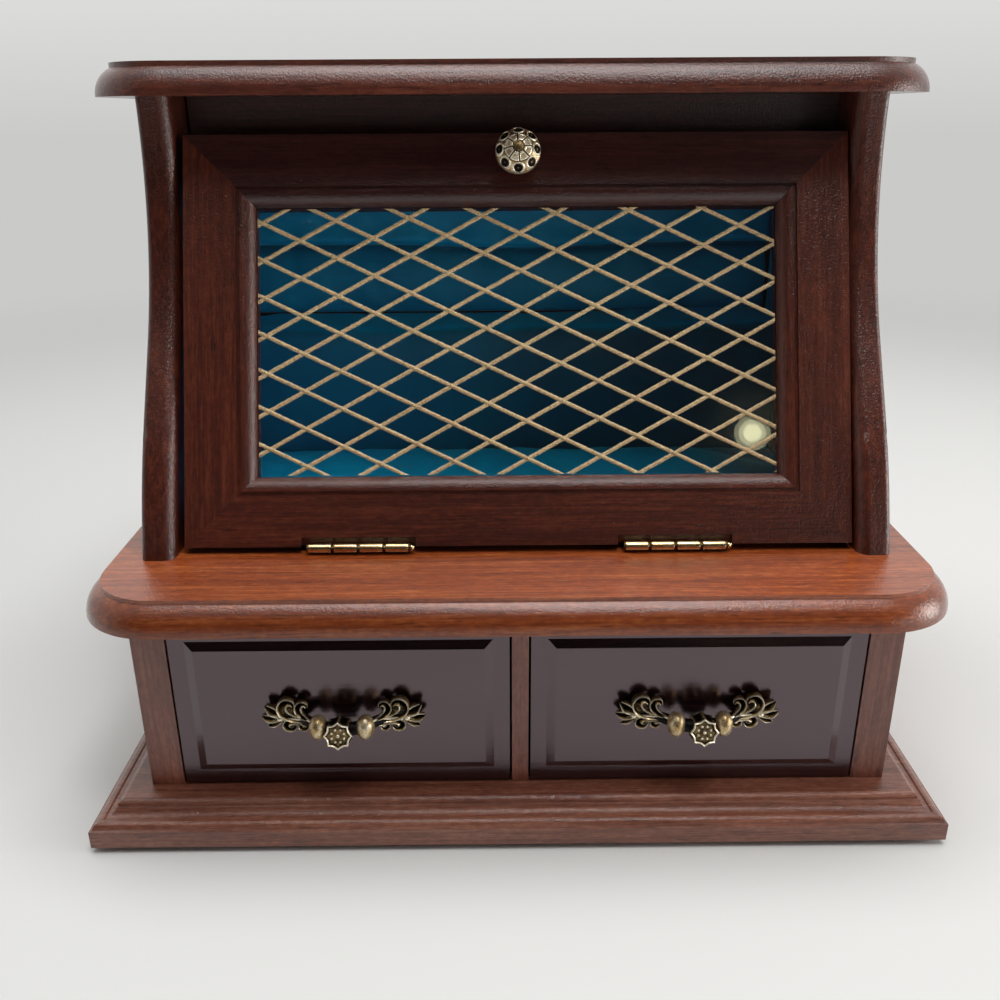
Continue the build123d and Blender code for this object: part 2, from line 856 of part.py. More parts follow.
def leaf_screw(spot, head_z, direction):
    """Countersunk screw through a leaf; direction is +1 for up and -1 for down."""
    x, y = spot
    seat = Plane(origin=(x, y, head_z), x_dir=(1, 0, 0), z_dir=(0, 0, direction))
    with BuildPart() as piece:
        with BuildSketch(seat):
            Circle(hinge_screw_head_radius)
        with BuildSketch(seat.offset(hinge_leaf_thickness)):
            Circle(hinge_screw_radius)
        loft()
        add(rod(seat.offset(hinge_leaf_thickness), hinge_screw_radius, hinge_screw_length - fit_clearance))
    return piece.part


def make_hinges():
    door_leaf_z = door_leaf_top_z - hinge_leaf_thickness
    spots = hinge_screw_spots()
    door_screws = [leaf_screw(spot, door_leaf_z, 1) for spot in spots]
    body_screws = [leaf_screw(spot, waist_top_z + hinge_leaf_thickness, -1) for spot in spots]
    door_knuckles = range(0, hinge_knuckles, 2)
    body_knuckles = range(1, hinge_knuckles, 2)
    for side, x in hinge_xs.items():
        with BuildPart() as door_leaf:
            add(hinge_leaf(x, door_leaf_z, door_knuckles))
            for one in door_screws:
                add(one, mode=Mode.SUBTRACT)
        save(f"hinge_{side}_door_leaf", door_leaf.part)
        with BuildPart() as body_leaf:
            add(hinge_leaf(x, waist_top_z, body_knuckles))
            for one in body_screws:
                add(one, mode=Mode.SUBTRACT)
        save(f"hinge_{side}_body_leaf", body_leaf.part)
        start = side_plane(x - hinge_length / 2, hinge_y, hinge_z)
        save(f"hinge_{side}_pin", rod(start, hinge_pin_radius, hinge_length + hinge_pin_tip))
    save("hinge_screws_door", Compound(children=door_screws))
    save("hinge_screws_body", Compound(children=body_screws))


# Drawers


def drawer_front(x_from, x_to):
    """Panel with a flat rim and a raised field with bevelled sides; its screws are sunk from behind."""
    middle = ((x_from + x_to) / 2, (drawer_z + drawer_top_z) / 2)
    rim_width = x_to - x_from - 2 * drawer_rim
    rim_height = drawer_top_z - drawer_z - 2 * drawer_rim
    back_plane = front_plane(case_front_y + drawer_front_thickness)
    with BuildPart() as front:
        add(
            board(
                (x_from, x_to),
                (case_front_y, case_front_y + drawer_front_thickness),
                (drawer_z, drawer_top_z),
            )
        )
        with BuildSketch(front_plane(case_front_y)):
            with Locations(middle):
                Rectangle(rim_width, rim_height)
        with BuildSketch(front_plane(case_front_y - drawer_field_raise)):
            with Locations(middle):
                Rectangle(rim_width - 2 * drawer_bevel, rim_height - 2 * drawer_bevel)
        loft()
        with BuildSketch(back_plane):
            with Locations(pull_screw_spots(middle)):
                Circle(screw_radius + fit_clearance)
        extrude(amount=drawer_front_thickness + drawer_field_raise, mode=Mode.SUBTRACT)
        with BuildSketch(back_plane):
            with Locations(pull_screw_spots(middle)):
                Circle(screw_head_radius + fit_clearance)
        extrude(amount=screw_head_height, mode=Mode.SUBTRACT)
    return front.part


def pull_screw_spots(middle):
    """X and Z of the two screws of a pull, from the middle of its drawer front."""
    x, z = middle
    return [(x + side * pull_span / 2, z + pull_lift) for side in (-1, 1)]


def bead(place):
    """Barrel with rounded ends that starts on a plane and runs along its normal."""
    with BuildPart() as barrel:
        add(rod(place, pull_bead_radius, pull_bead_length))
        fillet(barrel.edges().filter_by(GeomType.CIRCLE), radius=pull_bead_round)
    return barrel.part


def drawer_pull(middle):
    """Cast pull: two lobed plates on the field, a bowed grip, two beads and a star between them."""
    field_y = case_front_y - drawer_field_raise
    x, z = middle
    plate_z = z + pull_lift
    grip_y = field_y - pull_plate_thickness / 2
    star_y = field_y - pull_reach
    star_z = plate_z - pull_drop
    lobe_x = pull_plate_width / 2 - pull_lobe_radius
    lobe_z = pull_plate_height / 2 - pull_lobe_radius
    bow_start = Vector(x - pull_span / 2, grip_y, plate_z)
    bow_middle = Vector(x, star_y, star_z)
    bow_end = Vector(x + pull_span / 2, grip_y, plate_z)
    star_turn = math.radians(pull_star_tilt)
    star_normal = Vector(0, -math.cos(star_turn), math.sin(star_turn))
    with BuildPart() as pull:
        with BuildLine() as bow:
            ThreePointArc(bow_start, bow_middle, bow_end)
        with BuildSketch(Plane(origin=bow.line @ 0, z_dir=bow.line % 0)):
            Circle(pull_grip_radius)
        sweep()
        for side in (-1, 1):
            with BuildSketch(front_plane(field_y)):
                with Locations((x + side * pull_span / 2, plate_z)):
                    with GridLocations(2 * lobe_x, 2 * lobe_z, 2, 2):
                        Circle(pull_lobe_radius)
                    Rectangle(pull_plate_width - pull_lobe_radius, 2 * lobe_z)
            extrude(amount=pull_plate_thickness)
        bead_share = pull_bead_spread / pull_span
        for bead_at in ((1 - bead_share) / 2, (1 + bead_share) / 2):
            bead_plane = Plane(origin=bow.line @ bead_at, z_dir=bow.line % bead_at)
            add(bead(bead_plane.offset(-pull_bead_length / 2)))
        with BuildSketch(Plane(origin=bow_middle, x_dir=(1, 0, 0), z_dir=star_normal)):
            RegularPolygon(pull_star_radius, 8)
        extrude(amount=pull_star_thickness)
        with BuildSketch(front_plane(field_y)):
            with Locations(pull_screw_spots(middle)):
                Circle(screw_radius + fit_clearance)
        extrude(amount=screw_bite, mode=Mode.SUBTRACT)
    return pull.part


def drawer_box(x_from, x_to):
    """Two sides and a back, with the bottom between them and a soft tray inside."""
    front_y = case_front_y + drawer_front_thickness
    end_y = back_face_y - drawer_back_gap
    low = plinth_top_z + running_clearance
    high = low + drawer_side_height
    inner = (x_from + drawer_wall, x_to - drawer_wall)
    bottom_z = low + drawer_bottom_lift
    tray_z = bottom_z + drawer_bottom_thickness
    tray_top_z = high - drawer_lining_drop
    with BuildPart() as sides:
        add(board((x_from, inner[0]), (front_y, end_y), (low, high)))
        add(board((inner[1], x_to), (front_y, end_y), (low, high)))
    back = board(inner, (end_y - drawer_wall, end_y), (low, high))
    bottom = board(inner, (front_y, end_y - drawer_wall), (bottom_z, tray_z))
    tray_x = (inner[0] + soft_clearance, inner[1] - soft_clearance)
    tray_y = (front_y + soft_clearance, end_y - drawer_wall - soft_clearance)
    wall = drawer_lining_thickness
    with BuildPart() as lining:
        add(board(tray_x, tray_y, (tray_z, tray_top_z)))
        add(
            board(
                (tray_x[0] + wall, tray_x[1] - wall),
                (tray_y[0] + wall, tray_y[1] - wall),
                (tray_z + wall, tray_top_z),
            ),
            mode=Mode.SUBTRACT,
        )
    return sides.part, back, bottom, lining.part


def make_drawers():
    for side, (cell_from, cell_to) in cells.items():
        x_from = cell_from + drawer_gap
        x_to = cell_to - drawer_gap
        middle = ((x_from + x_to) / 2, (drawer_z + drawer_top_z) / 2)
        sides, back, bottom, lining = drawer_box(x_from, x_to)
        save(f"drawer_{side}_front", drawer_front(x_from, x_to))
        with BuildPart() as walls:
            add(sides)
            add(back)
        save(f"drawer_{side}_sides", walls.part)
        save(f"drawer_{side}_bottom", bottom)
        save(f"drawer_{side}_lining", lining)
        save(f"drawer_{side}_pull", drawer_pull(middle))
        seat_y = case_front_y + drawer_front_thickness - screw_head_height
        shank = drawer_front_thickness - screw_head_height + drawer_field_raise + screw_bite - fit_clearance
        screws = [
            screw(
                Plane(origin=(x, seat_y, z), x_dir=(1, 0, 0), z_dir=(0, -1, 0)),
                screw_head_radius,
                screw_head_height,
                screw_radius,
                shank,
            )
            for x, z in pull_screw_spots(middle)
        ]
        save(f"drawer_{side}_pull_screws", Compound(children=screws))


# Lining of the compartment


def behind_door(z):
    """Depth at a height, just clear of the back of the door."""
    back_y = door_foot_y + door_thickness / cos_lean + (z - door_foot_z) * sin_lean / cos_lean
    return back_y + lining_behind_door


def make_floor_pad():
    """Flat pad, its top a shallow crown from front to back."""
    front_y = behind_door(waist_top_z + floor_pad_height)
    back_y = ledge_face_y - soft_clearance
    x_half = inner_half - side_lining_thickness - soft_clearance
    edge_z = waist_top_z + floor_pad_height - floor_pad_crown
    top_z = waist_top_z + floor_pad_height
    with BuildPart() as pad:
        with BuildSketch(Plane.YZ.offset(-x_half)):
            with BuildLine():
                Line((back_y, waist_top_z), (front_y, waist_top_z))
                Line((front_y, waist_top_z), (front_y, edge_z))
                ThreePointArc((front_y, edge_z), ((front_y + back_y) / 2, top_z), (back_y, edge_z))
                Line((back_y, edge_z), (back_y, waist_top_z))
            make_face()
        extrude(amount=2 * x_half)
    save("floor_pad", pad.part)


def make_side_linings():
    front_low = behind_door(waist_top_z)
    front_high = behind_door(header_z)
    face_y = back_pad_face_y - soft_clearance
    ledge_y = ledge_face_y - soft_clearance
    ledge_z = ledge_top_z + soft_clearance
    with BuildPart() as lining:
        with BuildSketch(Plane.YZ.offset(-inner_half)):
            with BuildLine():
                Polyline(
                    (front_low, waist_top_z),
                    (front_high, header_z),
                    (face_y, header_z),
                    (face_y, ledge_z),
                    (ledge_y, ledge_z),
                    (ledge_y, waist_top_z),
                    close=True,
                )
            make_face()
        extrude(amount=side_lining_thickness)
    save("side_lining_left", lining.part)
    save("side_lining_right", mirrored(lining.part))


def make_back_pad():
    """Padded back with a sewn crease: it bulges below the crease and above it."""
    low = ledge_top_z + soft_clearance
    crease = low + back_pad_lower_height
    high = top_board_z - back_pad_top_gap
    face = back_pad_face_y
    drawn = face + back_pad_groove
    with BuildPart() as pad:
        with BuildSketch(Plane.YZ.offset(-inner_half)):
            with BuildLine():
                ThreePointArc((drawn, low), (face, (low + crease) / 2), (drawn, crease))
                ThreePointArc((drawn, crease), (face, (crease + high) / 2), (drawn, high))
                Line((drawn, high), (back_face_y, high))
                Line((back_face_y, high), (back_face_y, low))
                Line((back_face_y, low), (drawn, low))
            make_face()
        extrude(amount=2 * inner_half)
    save("back_pad", pad.part)


def make_ledge():
    """Boxed ledge over the movement: an L of board with padding on its front and its top."""
    inside_y = ledge_board_y + ledge_board_thickness
    inside_z = ledge_board_z - ledge_board_thickness
    with BuildPart() as ledge:
        with BuildSketch(Plane.YZ.offset(-inner_half)):
            with BuildLine():
                Polyline(
                    (ledge_board_y, waist_top_z),
                    (ledge_board_y, ledge_board_z),
                    (back_face_y, ledge_board_z),
                    (back_face_y, inside_z),
                    (inside_y, inside_z),
                    (inside_y, waist_top_z),
                    close=True,
                )
            make_face()
        extrude(amount=2 * inner_half)
    save("ledge_board", ledge.part)

    with BuildPart() as pad:
        with BuildSketch(Plane.YZ.offset(-inner_half)):
            with BuildLine():
                Polyline(
                    (ledge_face_y, waist_top_z),
                    (ledge_face_y, ledge_top_z),
                    (back_face_y, ledge_top_z),
                    (back_face_y, ledge_board_z),
                    (ledge_board_y, ledge_board_z),
                    (ledge_board_y, waist_top_z),
                    close=True,
                )
            make_face()
        extrude(amount=2 * inner_half)
        nose = pad.edges().filter_by(Axis.X).group_by(Axis.Z)[-1].sort_by(Axis.Y)[0]
        fillet(nose, radius=ledge_pad_round)
    save("ledge_pad", pad.part)


# Musical movement


def make_bedplate():
    """Flat plate on the upper back with lugs for the cylinder and the fly, and a foot for the comb."""
    half = bedplate_width / 2
    lug_y = (cylinder_y - lug_width / 2, movement_face_y)
    fly_lug_y = (fly_y - lug_width / 2, movement_face_y)
    comb_foot_z = comb_z + comb_height - comb_foot_height
    worm_half = worm_length / 2 + running_clearance
    fly_bore_z = key_z - worm_half - lug_thickness
    fly_bore_length = 2 * (worm_half + lug_thickness)
    cylinder_bore_length = far_lug_x + lug_thickness - lug_x
    fly_lug_x = (fly_x - lug_width / 2, fly_x + lug_width / 2)
    with BuildPart() as plate:
        add(
            board(
                (movement_shift - half, movement_shift + half),
                (movement_face_y, back_face_y),
                (bedplate_z, bedplate_z + bedplate_height),
            )
        )
        for x in (lug_x, far_lug_x):
            add(board((x, x + lug_thickness), lug_y, (key_z - lug_width / 2, key_z + lug_width / 2)))
        for z in (fly_bore_z, key_z + worm_half):
            add(board(fly_lug_x, fly_lug_y, (z, z + lug_thickness)))
        add(
            board(
                (cylinder_x, cylinder_x + cylinder_length),
                (cylinder_y + comb_thickness / 2, movement_face_y),
                (comb_foot_z, comb_foot_z + comb_foot_height),
            )
        )
        bore = side_plane(lug_x, cylinder_y, key_z)
        bore_radius = cylinder_arbor_radius + fit_clearance
        add(rod(bore, bore_radius, cylinder_bore_length), mode=Mode.SUBTRACT)
        fly_bore = Plane(origin=(fly_x, fly_y, fly_bore_z))
        fly_bore_radius = fly_arbor_radius + fit_clearance
        add(rod(fly_bore, fly_bore_radius, fly_bore_length), mode=Mode.SUBTRACT)
        with BuildSketch(front_plane(back_face_y)):
            with Locations((key_x, key_z)):
                Circle(arbor_radius + fit_clearance)
            add(stop_slot())
            with Locations(bedplate_screw_spots()):
                Circle(movement_screw_radius + fit_clearance)
        extrude(amount=bedplate_thickness, mode=Mode.SUBTRACT)
    save("movement_bedplate", plate.part)


def make_spring_housing():
    """Round box over the mainspring, standing on the bedplate."""
    with BuildPart() as housing:
        with BuildSketch(front_plane(movement_face_y)):
            with Locations((key_x, key_z)):
                Circle(housing_radius)
        extrude(amount=housing_depth)
        with BuildSketch(front_plane(movement_face_y)):
            with Locations((key_x, key_z)):
                Circle(housing_radius - housing_wall)
        extrude(amount=housing_depth - housing_wall, mode=Mode.SUBTRACT)
        with BuildSketch(front_plane(movement_face_y)):
            with Locations((key_x, key_z)):
                Circle(arbor_radius + fit_clearance)
        extrude(amount=housing_depth, mode=Mode.SUBTRACT)
    save("spring_housing", housing.part)


def make_key():
    """Winding arbor with the toothed drive wheel at its inner end, and the winged key outside."""
    key_start_y = case_back_y + running_clearance
    hub_length = key_reach - running_clearance - key_wing_length
    tooth_height = 2 * (wheel_radius - wheel_mesh_radius)
    tooth_space = math.pi * wheel_mesh_radius / wheel_teeth
    with BuildPart() as wheel:
        with BuildSketch(front_plane(wheel_back_y)):
            with Locations((key_x, key_z)):
                Circle(wheel_radius)
        extrude(amount=wheel_thickness)
        with BuildSketch(front_plane(wheel_front_y)):
            with Locations((key_x, key_z)):
                with PolarLocations(wheel_mesh_radius, wheel_teeth):
                    Rectangle(tooth_height, tooth_space)
        extrude(amount=-wheel_tooth_depth, mode=Mode.SUBTRACT)
        arbor_start = Plane(origin=(key_x, wheel_back_y, key_z), x_dir=(1, 0, 0), z_dir=(0, 1, 0))
        add(rod(arbor_start, arbor_radius, key_start_y - wheel_back_y))
    save("drive_wheel", wheel.part)

    with BuildPart() as key:
        with BuildSketch(front_plane(key_start_y)):
            with Locations((key_x, key_z)):
                Circle(key_hub_radius)
        extrude(amount=-hub_length)
        with BuildSketch(Plane.XY.offset(key_z - key_wing_thickness / 2)):
            with Locations((key_x, key_start_y + hub_length + key_wing_length / 2)):
                RectangleRounded(key_wing_width, key_wing_length, key_wing_round)
        extrude(amount=key_wing_thickness)
    save("winding_key", key.part)


def make_cylinder():
    """Pinned cylinder on its arbor, with the pinion at one end and the worm wheel at the other."""
    arbor_end = worm_wheel_x + worm_wheel_thickness
    with BuildPart() as cylinder:
        add(rod(side_plane(pinion_x, cylinder_y, key_z), pinion_radius, pinion_length))
        add(rod(side_plane(pinion_x, cylinder_y, key_z), cylinder_arbor_radius, arbor_end - pinion_x))
        add(rod(side_plane(cylinder_x, cylinder_y, key_z), cylinder_radius, cylinder_length))
        add(rod(side_plane(worm_wheel_x, cylinder_y, key_z), worm_wheel_radius, worm_wheel_thickness))
    save("pin_cylinder", cylinder.part)


def make_fly():
    """Upright worm with its two-bladed air brake on top."""
    worm_half = worm_length / 2 + running_clearance
    low_z = key_z - worm_half - lug_thickness
    blade_z = key_z + worm_half + lug_thickness + running_clearance
    with BuildPart() as fly:
        add(rod(Plane(origin=(fly_x, fly_y, low_z)), fly_arbor_radius, blade_z + fly_height - low_z))
        add(rod(Plane(origin=(fly_x, fly_y, key_z - worm_length / 2)), worm_radius, worm_length))
        with BuildSketch(Plane.XY.offset(blade_z)):
            with Locations((fly_x, fly_y)):
                Rectangle(2 * fly_radius, fly_blade_thickness)
        extrude(amount=fly_height)
    save("governor_fly", fly.part)


def comb_screw_spots():
    """X and Z of the two screws of the comb."""
    z = comb_z + comb_height - comb_foot_height / 2
    first_x = cylinder_x + comb_screw_inset
    last_x = cylinder_x + cylinder_length - comb_screw_inset
    return [(first_x, z), (last_x, z)]


def make_comb():
    """Steel comb: its teeth hang over the cylinder, its head is screwed to the bedplate's foot."""
    pitch = cylinder_length / comb_teeth
    with BuildPart() as comb:
        with BuildSketch(front_plane(cylinder_y + comb_thickness / 2)):
            with Locations((cylinder_x + cylinder_length / 2, comb_z + comb_height / 2)):
                Rectangle(cylinder_length, comb_height)
            tooth_length = comb_height - comb_foot_height
            with Locations((cylinder_x + cylinder_length / 2, comb_z + tooth_length / 2)):
                with GridLocations(pitch, 1, comb_teeth - 1, 1):
                    Rectangle(comb_slit, tooth_length, mode=Mode.SUBTRACT)
            with Locations(comb_screw_spots()):
                Circle(movement_screw_radius + fit_clearance, mode=Mode.SUBTRACT)
        extrude(amount=comb_thickness)
    save("music_comb", comb.part)


def make_stop():
    """Sliding stop lever: a tongue through the back with a ribbed button outside."""
    inner_y = movement_face_y - bedplate_thickness
    button_y = case_back_y + running_clearance
    with BuildPart() as stop:
        add(
            board(
                (stop_x - stop_width / 2, stop_x + stop_width / 2),
                (inner_y, button_y + stop_button_length),
                (stop_z - stop_thickness / 2, stop_z + stop_thickness / 2),
            )
        )
        add(
            board(
                (stop_x - stop_width / 2, stop_x + stop_width / 2),
                (button_y, button_y + stop_button_length),
                (stop_z - stop_button_height / 2, stop_z + stop_button_height / 2),
            )
        )
    save("stop_slider", stop.part)


def make_movement_screws():
    """Two screws of the comb, and four that hold the bedplate from behind the upper back."""
    comb_seat = cylinder_y - comb_thickness / 2
    screws = [
        screw(
            Plane(origin=(x, comb_seat, z), x_dir=(1, 0, 0), z_dir=(0, 1, 0)),
            movement_screw_head,
            movement_screw_head_height,
            movement_screw_radius,
            comb_thickness,
        )
        for x, z in comb_screw_spots()
    ]
    screws += [
        screw(
            Plane(origin=(x, case_back_y, z), x_dir=(1, 0, 0), z_dir=(0, -1, 0)),
            movement_screw_head,
            movement_screw_head_height,
            movement_screw_radius,
            back_thickness + bedplate_thickness,
        )
        for x, z in bedplate_screw_spots()
    ]
    save("movement_screws", Compound(children=screws))


make_feet()
make_plinth()
make_case()
make_boards()
make_uprights()
make_upper_back()
make_header()
make_door_frame()
make_glass()
make_knob()
make_hinges()
make_drawers()
make_floor_pad()
make_side_linings()
make_back_pad()
make_ledge()
make_bedplate()
make_spring_housing()
make_key()
make_cylinder()
make_fly()
make_comb()
make_stop()
make_movement_screws()
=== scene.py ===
"""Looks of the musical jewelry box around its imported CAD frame.

The scene is in metres on the frame's own axes. Shapes are drawn in millimetres and scaled by MM.
"""
import json
import random
from math import atan2, ceil, cos, exp, hypot, pi, radians, sin, sqrt, tan, tau

import bmesh
import bpy
import numpy as np
from mathutils import Matrix, Vector, noise


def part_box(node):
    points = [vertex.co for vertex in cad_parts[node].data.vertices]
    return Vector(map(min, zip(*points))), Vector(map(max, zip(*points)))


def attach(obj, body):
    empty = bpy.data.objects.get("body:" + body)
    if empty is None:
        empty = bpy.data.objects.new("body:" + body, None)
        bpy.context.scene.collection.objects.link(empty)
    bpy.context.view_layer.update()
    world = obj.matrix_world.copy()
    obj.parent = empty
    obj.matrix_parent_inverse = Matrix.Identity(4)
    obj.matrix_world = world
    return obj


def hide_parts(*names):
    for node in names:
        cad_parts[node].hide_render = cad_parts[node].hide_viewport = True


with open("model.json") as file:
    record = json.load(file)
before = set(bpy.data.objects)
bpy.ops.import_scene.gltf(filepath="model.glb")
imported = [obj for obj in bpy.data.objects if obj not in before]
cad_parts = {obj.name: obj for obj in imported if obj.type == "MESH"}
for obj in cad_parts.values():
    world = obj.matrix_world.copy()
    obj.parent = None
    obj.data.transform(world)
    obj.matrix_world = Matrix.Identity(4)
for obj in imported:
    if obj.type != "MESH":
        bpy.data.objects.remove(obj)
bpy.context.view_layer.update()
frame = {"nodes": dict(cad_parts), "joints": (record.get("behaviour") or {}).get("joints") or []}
nodes = frame["nodes"]
joints = {j["name"]: j for j in frame["joints"]}
random.seed(7)

MM = 0.001
SIM_FRAMES = 20
DOOR_LEAN = radians(22)


# Shader graphs


class Graph:
    """The node tree of a new material or world, and short ways to add nodes to it."""

    def __init__(self, name, owners=bpy.data.materials, shader="Principled BSDF"):
        self.owner = owners.new(name)
        self.owner.use_nodes = True
        self.tree = self.owner.node_tree
        self.shader = self.tree.nodes[shader]

    def feed(self, socket, value):
        """Link the value to the socket or set it there; a colour may come without its alpha."""
        if isinstance(value, bpy.types.NodeSocket):
            self.tree.links.new(value, socket)
        elif socket.type == "RGBA" and len(value) == 3:
            socket.default_value = (*value, 1)
        else:
            socket.default_value = value

    def node(self, kind, inputs=(), **settings):
        made = self.tree.nodes.new("ShaderNode" + kind)
        for key, value in settings.items():
            setattr(made, key, value)
        for key, value in dict(inputs).items():
            self.feed(made.inputs[key], value)
        return made

    def set(self, **values):
        """Constants or links on the main shader; underscores in the names stand for spaces."""
        for key, value in values.items():
            self.feed(self.shader.inputs[key.replace("_", " ")], value)

    def place(self, scale=(1, 1, 1), turn=(0, 0, 0)):
        """Coordinates on the piece itself, in metres, turned and then scaled."""
        where = self.node("TexCoord").outputs["Object"]
        turned = self.node("Mapping", {"Vector": where, "Rotation": turn}).outputs[0]
        return self.node("Mapping", {"Vector": turned, "Scale": scale}).outputs[0]

    def noise(self, scale, detail=2.0, roughness=0.5, distortion=0.0, turn=(0, 0, 0)):
        """Noise of one scale, or drawn out by three scales along turned axes."""
        inputs = {"Detail": detail, "Roughness": roughness, "Distortion": distortion}
        if isinstance(scale, tuple):
            inputs |= {"Vector": self.place(scale, turn), "Scale": 1.0}
        else:
            inputs |= {"Vector": self.place(), "Scale": scale}
        return self.node("TexNoise", inputs).outputs["Fac"]

    def ramp(self, factor, *stops):
        """Colour ramp; each stop is a position and a colour or a grey level."""
        made = self.node("ValToRGB", {"Fac": factor})
        points = made.color_ramp.elements
        while len(points) < len(stops):
            points.new(0.5)
        for point, (position, colour) in zip(points, stops):
            point.position = position
            point.color = (*colour, 1) if isinstance(colour, tuple) else (colour,) * 3 + (1,)
        return made.outputs["Color"]

    def mix(self, factor, a, b, blend="MIX"):
        made = self.node("Mix", {0: factor}, data_type="RGBA", blend_type=blend)
        self.feed(made.inputs[6], a)
        self.feed(made.inputs[7], b)
        return made.outputs[2]

    def math(self, operation, *values):
        made = self.node("Math", operation=operation)
        for socket, value in zip(made.inputs, values):
            self.feed(socket, value)
        return made.outputs[0]

    def times(self, a, b):
        return self.math("MULTIPLY", a, b)

    def plus(self, a, b):
        return self.math("ADD", a, b)

    def bump(self, height, strength, distance, under=None):
        inputs = {"Height": height, "Strength": strength, "Distance": distance}
        if under is not None:
            inputs["Normal"] = under
        return self.node("Bump", inputs).outputs[0]

    def attribute(self, name):
        return self.node("Attribute", attribute_name=name).outputs["Fac"]

    def blend(self, factor, other):
        """Show the main shader blended with another one."""
        ways = {0: factor, 1: self.shader.outputs[0], 2: other}
        blended = self.node("MixShader", ways).outputs[0]
        self.feed(self.tree.nodes["Material Output"].inputs["Surface"], blended)


def srgb(red, green, blue):
    """Linear colour from 0 to 255 display values."""

    def linear(value):
        value /= 255
        return value / 12.92 if value <= 0.04045 else ((value + 0.055) / 1.055) ** 2.4

    return linear(red), linear(green), linear(blue)


def scaled(colour, share):
    return tuple(share * part for part in colour)


# Mesh building


def smooth_step(low, high, value):
    t = min(max((value - low) / (high - low), 0.0), 1.0)
    return t * t * (3 - 2 * t)


def hump(value, middle, width):
    return exp(-(((value - middle) / width) ** 2))


def put_in_scene(name, data):
    made = bpy.data.objects.new(name, data)
    bpy.context.scene.collection.objects.link(made)
    return made


def new_mesh(name, points, faces):
    mesh = bpy.data.meshes.new(name)
    mesh.from_pydata(points, [], faces)
    return mesh


def new_piece(name, points, faces):
    """An object from points in metres, its faces turned outwards."""
    mesh = new_mesh(name, points, faces)
    mesh.validate()
    piece = put_in_scene(name, mesh)
    edit = bmesh.new()
    edit.from_mesh(mesh)
    bmesh.ops.recalc_face_normals(edit, faces=edit.faces)
    edit.to_mesh(mesh)
    edit.free()
    return piece


def finish_piece(piece, material, body, smooth):
    """Give the piece its material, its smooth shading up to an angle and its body."""
    piece.data.materials.clear()
    piece.data.materials.append(material)
    piece.data.shade_smooth()
    if smooth:
        piece.data.set_sharp_from_angle(angle=smooth)
    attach(piece, body)


def store(mesh, values):
    """Keep a darkening value per vertex: on castings how hollow it lies, 0 on raised parts and 1 in
    recesses, for patina; on the satin covers painted shade, and painted light below 0.
    """
    mesh.attributes.new("hollow", "FLOAT", "POINT").data.foreach_set("value", values)


class Shape:
    """Vertices, faces and a hollow value per vertex, gathered part by part."""

    def __init__(self):
        self.points = []
        self.faces = []
        self.hollow = []

    def add(self, points, faces, hollow):
        start = len(self.points)
        self.points.extend(Vector(p) for p in points)
        self.faces.extend(tuple(start + i for i in f) for f in faces)
        self.hollow.extend(hollow)

    def grid(self, rows, hollow=0.0, caps=True):
        """Quads between equal closed rows; caps fills the first and the last row.

        Hollow is one value or a row of values for each row of points.
        """
        count = len(rows[0])
        points = [p for row in rows for p in row]
        faces = []
        for r in range(len(rows) - 1):
            for c in range(count):
                a, b = r * count + c, r * count + (c + 1) % count
                faces.append((a, b, b + count, a + count))
        if caps:
            faces.append(tuple(reversed(range(count))))
            faces.append(tuple((len(rows) - 1) * count + c for c in range(count)))
        if isinstance(hollow, list):
            self.add(points, faces, [h for row in hollow for h in row])
        else:
            self.add(points, faces, [hollow] * len(points))

    def build(self, name, material, body, slot, place=Matrix(), smooth=radians(50)):
        """The finished object, its points moved by place."""
        piece = new_piece(name, [(place @ p) * MM for p in self.points], self.faces)
        store(piece.data, self.hollow)
        finish_piece(piece, material, body, smooth)
        return piece


def closed(rows, hollow=0.0):
    """A shape of one closed grid."""
    shape = Shape()
    shape.grid(rows, hollow)
    return shape


def circle(steps):
    return [tau * k / steps for k in range(steps)]


def around(radius, angle, rise):
    """A point on a ring about w, its angle measured from v towards u."""
    return Vector((radius * sin(angle), radius * cos(angle), rise))


def curve_points(controls, count):
    """Even steps along a smooth curve through the control rows; each row may carry extra values."""
    rows = np.array(controls, float)
    padded = np.vstack([2 * rows[0] - rows[1], rows, 2 * rows[-1] - rows[-2]])
    dense = []
    for i in range(len(rows) - 1):
        a, b, c, d = padded[i : i + 4]
        for t in np.linspace(0, 1, 24, endpoint=False):
            bend = (2 * a - 5 * b + 4 * c - d) * t**2 + (3 * b - a - 3 * c + d) * t**3
            dense.append(0.5 * (2 * b + (c - a) * t + bend))
    dense.append(rows[-1])
    dense = np.array(dense)
    step = np.linalg.norm(np.diff(dense[:, :3], axis=0), axis=1)
    length = np.concatenate([[0], np.cumsum(step)])
    even = np.linspace(0, length[-1], count)
    return np.stack([np.interp(even, length, dense[:, k]) for k in range(rows.shape[1])], 1)


